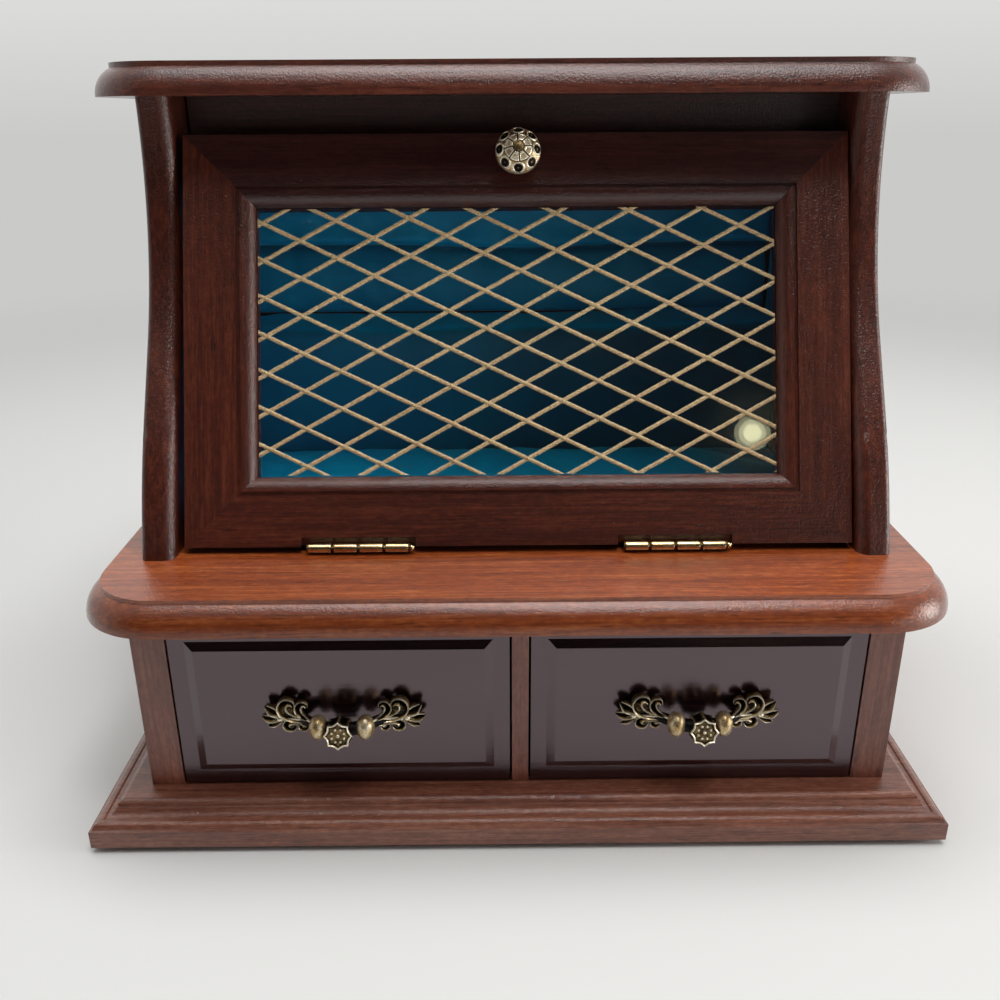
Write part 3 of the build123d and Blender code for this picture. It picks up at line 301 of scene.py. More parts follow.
def leaf(shape, controls, count=26, rim=0.75, gouge=1.0):
    """A cast leaf: controls are (u, v, w, half width) in mm, w out of the field.

    Across it, two raised rims stand on either side of a gouged hollow.
    """
    across = [(-1.0, 0.0, 0.5), (-0.95, 0.6, 0.2), (-0.86, 1.0, 0.0), (-0.72, 0.85, 0.15)]
    across += [(-0.5, 0.3, 0.8), (0.0, 0.0, 1.0)]
    across += [(-s, h, d) for s, h, d in reversed(across[:-1])]
    line = curve_points(controls, count)
    rows, hollows = [], []
    for i in range(count):
        u, v, w, half = line[i]
        ahead = line[min(i + 1, count - 1)] - line[max(i - 1, 0)]
        side = Vector((-ahead[1], ahead[0], 0)).normalized()
        size = max(half, 0.02)
        row = [Vector((u, v, w - size)) - side * size]
        for s, h, _ in across:
            lift = rim * size * (h * 0.8 if abs(s) > 0.9 else 0.25 + 0.75 * h)
            drop = gouge * size * (1 - h) if abs(s) < 0.7 else 0
            row.append(Vector((u, v, w + lift - drop)) + side * (s * size))
        row.append(Vector((u, v, w - size)) + side * size)
        rows.append(row)
        hollows.append([0.6] + [d for _, _, d in across] + [0.6])
    shape.grid(rows, hollows)


def tube(shape, controls, count=18, sides=10, hollow=0.1):
    """A round ridge along control rows (u, v, w, radius)."""
    line = curve_points(controls, count)
    rows = []
    for i in range(count):
        middle = Vector(line[i][:3])
        ahead = Vector(line[min(i + 1, count - 1)][:3]) - Vector(line[max(i - 1, 0)][:3])
        ahead.normalize()
        side = ahead.cross(Vector((0, 0, 1)))
        side = side.normalized() if side.length > 0.05 else Vector((1, 0, 0))
        up = side.cross(ahead)
        radius = max(line[i][3], 0.02)
        rows.append([middle + (side * cos(a) + up * sin(a)) * radius for a in circle(sides)])
    shape.grid(rows, hollow)


def ball(shape, middle, size, steps=14, hollow=0.0):
    """An egg or ball with three half sizes along u, v and w."""
    rows = []
    for i in range(steps + 1):
        polar = pi * min(max(i / steps, 0.004), 0.996)
        across, ring = sin(polar), []
        for angle in circle(2 * steps):
            unit = (-cos(polar), across * cos(angle), across * sin(angle))
            ring.append([m + s * c for m, s, c in zip(middle, size, unit)])
        rows.append(ring)
    shape.grid(rows, hollow)


# Drawer pulls: u runs outwards from the middle of the pull, v up and w out of the drawer

LEAVES = [
    [(12.5, -2.4, 7.2, 0.7), (15.5, -2.6, 5.6, 1.0), (18.6, -2.2, 4.6, 1.5), (21.6, -0.2, 4.4, 1.9),
     (22.6, 2.4, 4.0, 1.9), (21.2, 4.6, 3.6, 1.7), (19.0, 4.4, 3.8, 1.2), (18.2, 2.9, 4.2, 0.6)],
    [(11.8, -1.6, 7.6, 0.6), (14.0, -1.2, 5.8, 0.9), (16.0, 0.0, 4.6, 1.3), (16.7, 2.0, 4.0, 1.4),
     (15.6, 3.6, 3.6, 1.3), (13.9, 3.3, 3.6, 0.9), (13.5, 2.0, 3.9, 0.4)],
    [(13.5, -4.2, 5.8, 0.7), (16.6, -4.4, 4.2, 1.0), (19.6, -4.7, 3.4, 1.3), (21.6, -6.2, 3.0, 1.4),
     (21.2, -8.2, 2.8, 1.3), (19.4, -8.9, 2.8, 1.0), (18.3, -7.6, 3.0, 0.5)],
    [(12.0, -4.6, 6.2, 0.5), (13.8, -5.4, 4.6, 0.7), (15.8, -6.4, 3.4, 0.9), (16.2, -8.0, 2.9, 1.0),
     (14.8, -8.9, 2.8, 0.9), (13.7, -7.9, 3.0, 0.4)],
]
PETALS = [
    [(22.0, -2.6, 3.2, 0.6), (24.2, -1.3, 3.6, 1.5), (26.4, 0.8, 3.8, 2.0), (28.6, 3.0, 3.8, 0.6)],
    [(22.2, -3.1, 3.4, 0.6), (25, -2.9, 4.0, 1.5), (27.8, -2.6, 4.0, 1.8), (30.2, -2.0, 3.5, 0.5)],
    [(22, -3.5, 3.2, 0.6), (24.2, -4.6, 3.4, 1.2), (26.4, -5.8, 3.4, 1.5), (28.3, -7.2, 3.1, 0.4)],
]
VEINS = [
    [(10.8, -1.4, 8.3, 0.45), (13.4, -1.9, 6.6, 0.5), (16.8, -2.6, 4.9, 0.5), (21, -3, 4, 0.5)],
    [(10.8, -2.6, 8.2, 0.4), (13.6, -3.2, 6.3, 0.45), (17, -3.5, 4.5, 0.45),
     (20.6, -3.3, 3.9, 0.4)],
    [(10.8, -4, 7.6, 0.4), (13.4, -4.2, 5.8, 0.4), (16.6, -4, 4.2, 0.4), (20.2, -3.6, 3.7, 0.35)],
]
BOW = [(22.0, -3.0, 1.6, 1.3), (18.5, -3.0, 2.2, 1.7), (15.0, -3.0, 3.8, 1.9),
       (11.5, -3.0, 6.2, 2.0), (8.0, -3.4, 8.2, 2.2), (4.0, -3.9, 9.0, 2.4), (0.0, -4.2, 9.3, 2.5)]
STAR_RADIUS, STAR_POINTS, STAR_TILT = 5.2, 8, radians(-14)
STAR_V, STAR_W = -4.4, 12.9
CUP_FRONT, CUP_BACK, CUP_LENGTH = 5.0, 5.5, 5.6


def star_ring(shape, place, radius, points):
    """The forward disc: points with scallops between, a raised rim, a sunk floor and dots."""
    steps = 16 * points
    profile = [(0.0, -0.1, 0.6), (0.7, -0.15, 0.62), (0.8, -0.1, 0.85), (0.86, 0.4, 0.1)]
    profile += [(0.92, 0.58, 0.0), (0.97, 0.45, 0.0), (1.0, 0.05, 0.2), (0.97, -1.3, 0.8)]
    rows = []
    for share, height, _ in profile:
        ring = []
        for angle in circle(steps):
            phase = (angle * points / tau) % 1.0
            scallop = 1 - 0.17 * sin(pi * phase) ** 0.8
            reach = radius * max(share, 0.01) * (scallop if share > 0.3 else 1)
            ring.append(place @ around(reach, angle, height))
        rows.append(ring)
    shape.grid(rows, [[deep] * steps for _, _, deep in profile])
    spots = [(0.0, 0.0, 0.62)]
    spots += [(radius * 0.45, tau * (k + 0.5) / points, 0.46) for k in range(points)]
    for reach, angle, size in spots:
        ball(shape, place @ around(reach, angle, -0.05), (size, size, size), steps=7, hollow=0.1)


def cup(shape, place, front, back, length, flutes):
    """Fluted cup behind the disc, its ridges running to the points of the disc."""
    steps, rings = 14 * flutes, 8
    turns = circle(steps)
    dips = [sin(pi * ((angle * flutes / tau) % 1.0)) for angle in turns]
    rows = []
    for i in range(rings + 1):
        along = i / rings
        radius = front + (back - front) * along**1.3
        rise = -1.2 - length * along
        rows.append([place @ around(radius * (1 - 0.16 * d), a, rise) for a, d in zip(turns, dips)])
    hollow = [min(1.0, 0.25 + 0.8 * dip) for dip in dips]
    shape.grid(rows, [hollow] * len(rows))


def flattened(controls):
    """The same rows a little closer to the middle of the pull and to its own level."""
    return [(u * 0.96, -3.0 + (v + 3.0) * 0.87, w, half) for u, v, w, half in controls]


def pull_shape(star_shift):
    """One cast pull in its own millimetres; the star stands a little aside of the middle."""
    shape = Shape()
    for side in (-1, 1):
        half = Shape()
        for controls in LEAVES:
            leaf(half, flattened(controls))
        for controls in PETALS:
            leaf(half, flattened(controls), count=16, rim=0.5, gouge=0.9)
        for controls in VEINS:
            tube(half, flattened(controls), hollow=0.0)
        tube(half, BOW, count=30, sides=14, hollow=0.85)
        ball(half, (22.6, -3.1, 4.0), (1.1, 1.0, 1.0), steps=8)
        ball(half, (20.6, -3.2, 4.0), (0.8, 0.8, 0.8), steps=8)
        ball(half, (20.0, 0.1, 2.6), (3.2, 2.4, 2.6), hollow=0.7)
        ball(half, (8.3, -3.5, 8.7), (3.3, 4.6, 4.2), steps=20, hollow=0.3)
        shape.add([(p.x * side, p.y, p.z) for p in half.points], half.faces, half.hollow)
    star = Matrix.Translation((star_shift, STAR_V, STAR_W)) @ Matrix.Rotation(STAR_TILT, 4, "X")
    star_ring(shape, star, STAR_RADIUS, STAR_POINTS)
    cup(shape, star, CUP_FRONT, CUP_BACK, CUP_LENGTH, STAR_POINTS)
    return shape


# Door knob: rings of petals and medallions on a domed head, from these distances in mm

PETALS_FROM, MEDALLIONS_FROM, MEDALLIONS_AT = 1.95, 5.15, 6.75


def knob_relief(reach, angle, count):
    """Lift in mm and hollow value on the knob's face, reach mm from its middle at an angle."""
    turn = angle * count / tau
    if reach > MEDALLIONS_FROM:
        across = ((turn + 0.5) % 1.0 - 0.5) * tau / count * 6.9
        along = reach - MEDALLIONS_AT
        oval = hypot(across / 2.15, along / 1.45)
        if oval >= 1.25:
            return 0.05, 0.45
        rim = hump(oval, 0.93, 0.16)
        floor = 1 - smooth_step(0.55, 0.85, oval)
        pip = hump(hypot(across / 0.75, along / 0.45), 0.0, 1.0)
        deep = min(1.0, max(0.0, floor - 0.7 * pip) + 0.25 * (1 - rim))
        return 0.42 * rim - 0.35 * floor + 0.3 * pip, deep
    if reach > PETALS_FROM:
        phase = (turn + 0.1) % 1.0
        edge = min(phase, 1 - phase) * tau / count * max(reach, 0.5)
        groove = 1 - smooth_step(0.1, 0.32, edge)
        ends = smooth_step(2.0, 2.35, reach) * (1 - smooth_step(4.85, MEDALLIONS_FROM, reach))
        inner = smooth_step(2.75, 3.0, reach) * (1 - smooth_step(4.3, 4.6, reach))
        inner *= smooth_step(0.35, 0.6, edge)
        lift = 0.32 * ends * (1 - groove) - 0.12 * inner
        return lift, min(1.0, 0.85 * groove + 0.8 * (1 - ends) + 0.25 * inner)
    dot = 1 - smooth_step(0.0, 1.75, reach)
    return 0.22 * dot + (0.1 if reach < 1.6 else 0.0), 0.55


def knob_shape(radius, reach, steps=320, rings=96, petals=8):
    """Turned and chased knob; w runs out of the door from its face."""
    turns = circle(steps)
    profile = [(0.55, 0.0), (0.56, 0.1), (0.52, 0.13), (0.4, 0.14), (0.37, 0.2), (0.37, 0.34)]
    profile += [(0.42, 0.4), (0.62, 0.44), (0.86, 0.5), (0.96, 0.56), (1.0, 0.62), (1.0, 0.66)]
    profile += [(0.985, 0.7)]
    rows = [[around(radius * share, a, reach * height) for a in turns] for share, height in profile]
    hollows = [[0.75 if share < 0.9 else 0.25] * steps for share, _ in profile]
    for i in range(rings):
        share = 0.985 - 0.983 * (i / (rings - 1))
        dome = reach * (0.71 + 0.29 * (1 - share**2.2))
        relief = [knob_relief(share * radius, a, petals) for a in turns]
        rows.append([around(radius * share, a, dome + lift) for a, (lift, _) in zip(turns, relief)])
        hollows.append([deep for _, deep in relief])
    return closed(rows, hollows)


# Materials

SPECKLE = 1300.0


def wood(name, dark, middle, light, grain="x", turn=(0, 0, 0), film=0.11, coat=1.0, rough=0.45,
         peel=1.0, strokes=0.6, edge=None):
    """Stained and lacquered wood whose grain runs along one axis of the piece.

    An edge (low, high, share) gives the heights in metres between which the colour turns darker
    downwards, painted shade on the moulding below a top face. Peel scales the lacquer's ripple,
    strokes the short dark marks.
    """
    g = Graph(name)

    def drawn(along, across, **settings):
        """Noise drawn out along the grain."""
        scale = tuple(along if axis == grain else across for axis in "xyz")
        return g.noise(scale, turn=turn, **settings)

    slow = drawn(6, 26, detail=3.0, distortion=0.6)
    figure = drawn(8, 300, detail=4.0, roughness=0.6, distortion=0.5)
    fibre = drawn(36, 1100, detail=3.0, roughness=0.65)
    mottle = drawn(300, 700, roughness=0.6)
    pores = g.ramp(drawn(110, 2100, detail=1.0, roughness=0.4), (0.62, 0.0), (0.72, 1.0))
    stroke = g.ramp(drawn(80, 1000), (0.58, 0.0), (0.65, 1.0))
    patch = g.ramp(drawn(12, 45), (0.58, 0.0), (0.7, 1.0))
    blend = g.plus(g.times(figure, 0.38), g.times(fibre, 0.36))
    blend = g.plus(blend, g.times(mottle, 0.26))
    colour = g.ramp(blend, (0.34, dark), (0.5, middle), (0.66, light))
    shade = g.ramp(slow, (0.32, 0.82), (0.68, 1.12))
    colour = g.mix(1.0, colour, shade, "MULTIPLY")
    worn = g.times(g.times(stroke, patch), strokes)
    lines = g.math("MAXIMUM", g.times(pores, 0.5), worn)
    colour = g.mix(lines, colour, scaled(dark, 0.12))
    # Painted shade: with an edge, the colour darkens downwards between the two heights
    if edge:
        height = g.node("SeparateXYZ", {0: g.place()}).outputs["Z"]
        low, high, share = edge
        span = {"Value": height, "From Min": low, "From Max": high, "To Min": share, "To Max": 1.0}
        painted_shade = g.node("MapRange", span).outputs[0]
        colour = g.mix(1.0, colour, painted_shade, "MULTIPLY")
    under = g.bump(lines, 0.2, -0.0002, g.bump(fibre, 0.1, 0.0002))
    speckle = g.noise(SPECKLE, roughness=0.6)
    over = g.bump(drawn(260, 620), 0.22 * peel, 0.0005)
    over = g.bump(speckle, peel, 0.00028, over)
    g.set(Base_Color=colour, Roughness=rough, Normal=under, Specular_IOR_Level=0.2, IOR=1.5)
    g.set(Coat_Weight=coat, Coat_Roughness=film, Coat_IOR=1.5, Coat_Normal=over)
    return g.owner


def polished_wood(name, dark, light):
    """Nearly black lacquered front with a mauve cast in its reflections and fine level streaks."""
    g = Graph(name)
    figure = g.noise((9, 130, 130), detail=5.0, roughness=0.6, distortion=0.8)
    streak = g.noise((30, 900, 900), detail=3.0, roughness=0.6)
    cloud = g.noise((18, 40, 26), detail=3.0, turn=(0, 0.5, 0))
    blend = g.plus(g.times(figure, 0.6), g.times(streak, 0.4))
    colour = g.ramp(blend, (0.36, dark), (0.64, light))
    film = g.ramp(cloud, (0.3, 0.15), (0.7, 0.22))
    speckle = g.noise(SPECKLE, roughness=0.6)
    normal = g.bump(speckle, 0.3, 0.0001, g.bump(streak, 0.14, 0.0003))
    g.set(Base_Color=colour, Roughness=film, Normal=normal, IOR=1.95, Specular_IOR_Level=0.5)
    g.set(Specular_Tint=(1.0, 0.79, 0.86))
    return g.owner


def cast_metal(name, bright, mid, dark, rough=0.27):
    """Antiqued casting: pale worn rims, dark patina in its hollows, and fine pits."""
    g = Graph(name)
    deep = g.attribute("hollow")
    fine = g.noise(1600.0, detail=3.0, roughness=0.65)
    broad = g.noise(420.0, detail=3.0, roughness=0.6)
    edge = g.plus(deep, g.times(g.math("SUBTRACT", broad, 0.5), 0.7))
    edge = g.plus(edge, g.times(g.math("SUBTRACT", fine, 0.5), 0.5))
    colour = g.ramp(edge, (0.08, bright), (0.36, mid), (0.76, dark))
    roughness = g.ramp(edge, (0.1, rough), (0.8, rough + 0.22))
    metallic = g.ramp(edge, (0.05, 0.6), (0.5, 0.85))
    pits = g.ramp(fine, (0.35, 0.0), (0.55, 1.0))
    normal = g.bump(pits, 0.12, 0.00015, g.bump(broad, 0.15, 0.0003))
    g.set(Base_Color=colour, Metallic=metallic, Roughness=roughness, Normal=normal)
    return g.owner


def brushed_metal(name, colour, darker, rough=0.22, tint=None):
    """Plain metal with fine scratches and a little tarnish."""
    g = Graph(name)
    scratch = g.noise((60, 1500, 1500), detail=3.0, roughness=0.6)
    tarnish = g.noise(260.0, detail=4.0, roughness=0.65)
    base = g.ramp(tarnish, (0.35, colour), (0.75, darker))
    if tint:
        base = g.mix(g.ramp(g.noise(90.0), (0.45, 0.0), (0.7, 0.5)), base, tint)
    brushed = g.ramp(scratch, (0.3, rough), (0.7, rough + 0.12))
    g.set(Base_Color=base, Metallic=1.0, Roughness=brushed, Normal=g.bump(scratch, 0.06, 0.0001))
    return g.owner


def satin(name, colour, deep, weave=2600.0):
    """Satin: fine weave, soft sheen and shifts of tone; the hollow attribute paints shade on it,
    and light where it is below zero.
    """
    g = Graph(name)
    slow = g.noise(22.0, detail=3.0)
    thread = g.noise((weave * 0.25, weave, weave), detail=1.0)
    slub = g.noise((60, 700, 700))
    tone = g.ramp(slow, (0.3, deep), (0.7, colour))
    tone = g.mix(g.times(thread, 0.3), tone, scaled(colour, 0.5))
    tone = g.mix(g.ramp(slub, (0.5, 0.0), (0.75, 0.3)), tone, scaled(colour, 1.3))
    # Painted shade and light: the tone times one minus the hollow attribute
    tone = g.mix(1.0, tone, g.math("SUBTRACT", 1.0, g.attribute("hollow")), "MULTIPLY")
    normal = g.bump(thread, 0.15, 0.0001, g.bump(slub, 0.12, 0.0003))
    g.set(Base_Color=tone, Roughness=0.4, Sheen_Weight=1.0, Sheen_Roughness=0.4)
    g.set(Specular_IOR_Level=0.25, Anisotropic=0.6, Normal=normal, Sheen_Tint=(0.0, 0.6, 0.75))
    return g.owner


def felt(name, colour, deep):
    """Short pile cloth of the drawer trays."""
    g = Graph(name)
    pile = g.noise(1900.0, detail=3.0, roughness=0.7)
    slow = g.noise(30.0, detail=3.0)
    tone = g.mix(g.ramp(slow, (0.3, 0.0), (0.7, 1.0)), deep, colour)
    tone = g.mix(g.times(pile, 0.5), tone, scaled(deep, 0.4))
    g.set(Base_Color=tone, Roughness=0.95, Sheen_Weight=0.6, Sheen_Roughness=0.5)
    g.set(Normal=g.bump(pile, 0.4, 0.0004), Sheen_Tint=(0.5, 0.8, 0.85))
    return g.owner


def window_glass(name):
    """Clear pane with faint dust and hairline scratches; lamps reach what is behind it."""
    g = Graph(name)
    dust = g.ramp(g.noise(900.0, detail=3.0, roughness=0.6), (0.72, 0.0), (0.77, 1.0))
    hair = g.noise((9, 420, 420), roughness=0.6, distortion=0.4, turn=(0.3, 0.1, 0.62))
    hair = g.ramp(hair, (0.735, 0.0), (0.76, 1.0))
    veil = g.plus(g.times(dust, 0.12), g.times(hair, 0.08))
    g.set(Base_Color=(0.97, 0.985, 0.98), Roughness=0.0, IOR=1.5)
    g.set(Transmission_Weight=g.math("SUBTRACT", 1.0, veil), Coat_Weight=0.35, Coat_Roughness=0.14)
    lamp_ray = g.node("LightPath").outputs["Is Shadow Ray"]
    open_way = g.node("BsdfTransparent", {"Color": (0.94, 0.96, 0.95)}).outputs[0]
    g.blend(lamp_ray, open_way)
    return g.owner


def dull(name, colour, rough):
    """Rubber or plastic with a fine grain."""
    g = Graph(name)
    speck = g.noise(900.0, detail=3.0, roughness=0.7)
    tone = g.mix(g.times(speck, 0.5), colour, scaled(colour, 0.5))
    g.set(Base_Color=tone, Roughness=rough, Normal=g.bump(speck, 0.25, 0.0002))
    return g.owner


def gold_print(name):
    """Screen printed gold: matt, finely broken along the lines."""
    g = Graph(name)
    grain = g.noise(2600.0, roughness=0.7)
    colour = g.ramp(g.noise(30.0), (0.3, srgb(220, 192, 146)), (0.7, srgb(238, 210, 158)))
    colour = g.mix(g.ramp(grain, (0.46, 0.0), (0.56, 0.85)), colour, srgb(122, 98, 66))
    g.set(Base_Color=colour, Metallic=0.0, Roughness=0.55, Normal=g.bump(grain, 0.3, 0.0001))
    return g.owner


BOARD_TONES = srgb(106, 43, 15), srgb(150, 69, 28), srgb(190, 105, 52)
PLINTH_TONES = srgb(94, 50, 37), srgb(127, 75, 57), srgb(160, 105, 83)
TOP_TONES = srgb(58, 23, 16), srgb(84, 38, 26), srgb(114, 58, 38)
CASE_TONES = srgb(88, 44, 34), srgb(116, 64, 48), srgb(142, 88, 68)
DOOR_TONES = srgb(52, 19, 11), srgb(78, 32, 19), srgb(106, 50, 30)
# Darker tones as painted shade, for the parts under the top board's shadow
PAINTED_SHADE_TONES = srgb(34, 11, 10), srgb(52, 20, 16), srgb(72, 33, 26)
PLAIN_TONES = srgb(120, 84, 52), srgb(150, 110, 70), srgb(176, 136, 92)
ANTIQUE = cast_metal("antique_brass", srgb(244, 236, 212), srgb(176, 148, 100), srgb(22, 19, 18))
BRASS = brushed_metal("bright_brass", srgb(236, 214, 164), srgb(186, 150, 98), rough=0.2,
                      tint=srgb(176, 112, 84))
STEEL = brushed_metal("bright_steel", srgb(200, 200, 205), srgb(130, 130, 136), rough=0.25)
SATIN = satin("teal_satin", srgb(4, 160, 204), srgb(2, 134, 182))
FELT = felt("drawer_lining_felt", srgb(16, 92, 108), srgb(8, 66, 82))
GOLD = gold_print("gold_print")

# Each material and the CAD nodes that wear it; a * stands for left and for right
FINISHES = [
    (wood("stained_plinth", *PLINTH_TONES), "plinth_board plinth_moulding"),
    (wood("stained_case", *CASE_TONES, grain="z"), "case_side_* drawer_divider"),
    (wood("stained_case_x", *CASE_TONES), "case_back drawer_top_rail upper_back"),
    # The waist board's moulding below its top face gets painted shade
    (wood("stained_board", *BOARD_TONES, peel=0.6, edge=(0.0945, 0.0972, 0.66)), "waist_board"),
    (wood("stained_upright", *DOOR_TONES, grain="z", coat=0.8), "upright_*"),
    # Header rail: painted shade under the top board
    (wood("header_painted_shade", *PAINTED_SHADE_TONES, coat=0.4, film=0.2), "header_rail"),
    (wood("stained_top", *TOP_TONES, coat=0.8), "top_board"),
    # Door top rail: painted shade under the top board
    (wood("door_top_rail_painted_shade", *PAINTED_SHADE_TONES), "door_rail_top"),
    (wood("stained_rail", *DOOR_TONES, coat=0.75), "door_rail_bottom glass_retainer"),
    (wood("stained_stile", *DOOR_TONES, grain="z", turn=(DOOR_LEAN, 0, 0), coat=0.75),
     "door_stile_*"),
    (wood("plain_wood_x", *PLAIN_TONES, coat=0.0, rough=0.6, strokes=0.2), "ledge_board"),
    (wood("plain_wood_y", *PLAIN_TONES, grain="y", coat=0.0, rough=0.6, strokes=0.2),
     "drawer_*_sides drawer_*_bottom"),
    (polished_wood("glossy_drawer_wood", srgb(16, 5, 6), srgb(34, 12, 13)), "drawer_*_front"),
    (window_glass("clear_glass"), "glass_pane"),
    (GOLD, "gold_lattice"),
    # Hinge leaves: dark brass colour as painted shade in their notch under the door; rough brass
    (brushed_metal("hinge_leaf_painted_shade", srgb(92, 72, 46), srgb(40, 32, 24), rough=0.5),
     "hinge_*_door_leaf hinge_*_body_leaf"),
    (BRASS, "hinge_*_pin hinge_screws_door hinge_screws_body movement_bedplate spring_housing"),
    (BRASS, "drive_wheel pin_cylinder"),
    (STEEL, "knob_screw catch_magnet catch_plate drawer_*_pull_screws winding_key governor_fly"),
    (STEEL, "music_comb movement_screws"),
    (dull("black_plastic", srgb(34, 34, 36), 0.4), "stop_slider"),
    (dull("foot_rubber", srgb(44, 42, 40), 0.8), "foot_pads"),
]


def each(names):
    """The CAD nodes of these names."""
    for name in names.split():
        for side in ("left", "right") if "*" in name else ("",):
            yield nodes[name.replace("*", side)]


for material, names in FINISHES:
    for node in each(names):
        node.data.materials.clear()
        node.data.materials.append(material)

# Widths of the rounded edges in mm
SOFTENED = [
    (0.25, "hinge_*_door_leaf hinge_*_body_leaf"),
    (0.3, "plinth_moulding winding_key door_rail_top door_rail_bottom door_stile_*"),
    (0.35, "top_board waist_board"),
    (0.4, "drawer_divider"),
    (0.5, "case_side_* header_rail drawer_*_front"),
    (1.8, "upright_*"),
]
for width, names in SOFTENED:
    for node in each(names):
        edge = node.modifiers.new("softened edges", "BEVEL")
        edge.width = width * MM
        edge.segments = 3
        edge.limit_method = "ANGLE"
        edge.angle_limit = radians(32)
        edge.harden_normals = False


# Cast pieces in place of their CAD stand-ins

PULL_DROP = 7.5
PULL_SHIFTS = (("left", 0.9, -0.9), ("right", -0.2, 1.0))
OUT_OF_FRONT = Matrix(((1, 0, 0, 0), (0, 0, -1, 0), (0, 1, 0, 0), (0, 0, 0, 1)))
for side, shift, star_shift in PULL_SHIFTS:
    low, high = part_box(f"drawer_{side}_pull")
    field_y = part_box(f"drawer_{side}_front")[0].y / MM
    middle = (low.x + high.x) / 2 / MM
    place = Matrix.Translation((middle + shift, field_y, high.z / MM - PULL_DROP)) @ OUT_OF_FRONT
    pull = pull_shape(star_shift)
    piece = pull.build(f"cast_pull_{side}", ANTIQUE, f"drawer_{side}", "antique_brass", place)
    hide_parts(f"drawer_{side}_pull")

# The door's own plane: x along the rails, y up the stiles and z out of its face
hinge = Vector(joints["door_hinge"]["pos_m"]) / MM
DOOR = Matrix.Translation((0.95, hinge.y + 0.5, hinge.z + 0.35))
DOOR = DOOR @ Matrix.Rotation(radians(90) - DOOR_LEAN, 4, "X")
KNOB_AT = (0.6, 141.29, 0)
KNOB_RADIUS, KNOB_REACH = 8.1, 15.0
knob = knob_shape(KNOB_RADIUS, KNOB_REACH)
place = DOOR @ Matrix.Translation(KNOB_AT)
piece = knob.build("chased_knob", ANTIQUE, "door", "antique_brass", place)
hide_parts("door_knob")


# Hinge knuckles with rounded ends and small gaps between them, and the ends of the pins


def turned(profile, steps=40):
    """A body of revolution about the door's hinge axis; profile rows are (x, radius)."""
    rows = []
    for x, radius in profile:
        ring = ((hinge.y + radius * cos(a), hinge.z + radius * sin(a)) for a in circle(steps))
        rows.append([(x, y, z) for y, z in ring])
    return closed(rows)


KNUCKLES = 4
KNUCKLE_GAP = 0.22
KNUCKLE_END = [(0.0, 1.2), (0.1, 1.42), (0.28, 1.58), (0.55, 1.66), (0.9, 1.69)]
PIN_END = [(0.02, 0.9), (0.25, 1.05), (0.7, 1.15), (1.2, 0.95), (1.5, 0.4)]
for side in ("left", "right"):
    low, high = ((corner / MM).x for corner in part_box(f"hinge_{side}_door_leaf"))
    pitch = (high - low) / KNUCKLES
    for body, first in (("base", 0), ("door", 1)):
        sleeves = Shape()
        for k in range(first, KNUCKLES, 2):
            start, end = low + k * pitch + KNUCKLE_GAP, low + (k + 1) * pitch - KNUCKLE_GAP
            line = [(start + d, r) for d, r in KNUCKLE_END]
            line += [(end - d, r) for d, r in reversed(KNUCKLE_END)]
            sleeve = turned(line)
            sleeves.add(sleeve.points, sleeve.faces, sleeve.hollow)
        sleeves.build(f"hinge_{side}_{body}_knuckles", BRASS, body, "bright_brass")
    tip = turned([(high + x, radius) for x, radius in PIN_END])
    tip.build(f"hinge_{side}_pin_tip", BRASS, "base", "bright_brass")


# Padded satin of the compartment, by cloth simulation

PRESSURE = 4.0
LEAST_SHRINK = -0.04


def evaluated(piece):
    """The piece's mesh with its modifiers applied."""
    bpy.context.view_layer.update()
    whole = piece.evaluated_get(bpy.context.evaluated_depsgraph_get())
    return bpy.data.meshes.new_from_object(whole)


def apply(piece):
    piece.data = evaluated(piece)
    piece.modifiers.clear()


def positions(mesh):
    return np.array([v.co for v in mesh.vertices]) / MM


def put_at(mesh, places):
    mesh.vertices.foreach_set("co", (places * MM).ravel())
    mesh.update()


def swell(piece, held):
    """Positions after the simulation; held gives how firmly the cover is held at a point."""
    group = piece.vertex_groups.new(name="held")
    for index, point in enumerate(positions(piece.data)):
        weight = held(*point)
        if weight > 0:
            group.add([index], weight, "REPLACE")
    cloth = piece.modifiers.new("stuffing", "CLOTH")
    cloth.settings.use_pressure = True
    cloth.settings.uniform_pressure_force = PRESSURE
    cloth.settings.effector_weights.gravity = 0.0
    cloth.settings.vertex_group_mass = "held"
    cloth.settings.shrink_min = LEAST_SHRINK
    cloth.collision_settings.use_collision = False
    cloth.point_cache.frame_start = 1
    cloth.point_cache.frame_end = SIM_FRAMES
    for step in range(1, SIM_FRAMES + 1):
        bpy.context.scene.frame_set(step)
    end = positions(evaluated(piece))
    piece.modifiers.clear()
    piece.vertex_groups.clear()
    bpy.context.scene.frame_set(1)
    return end


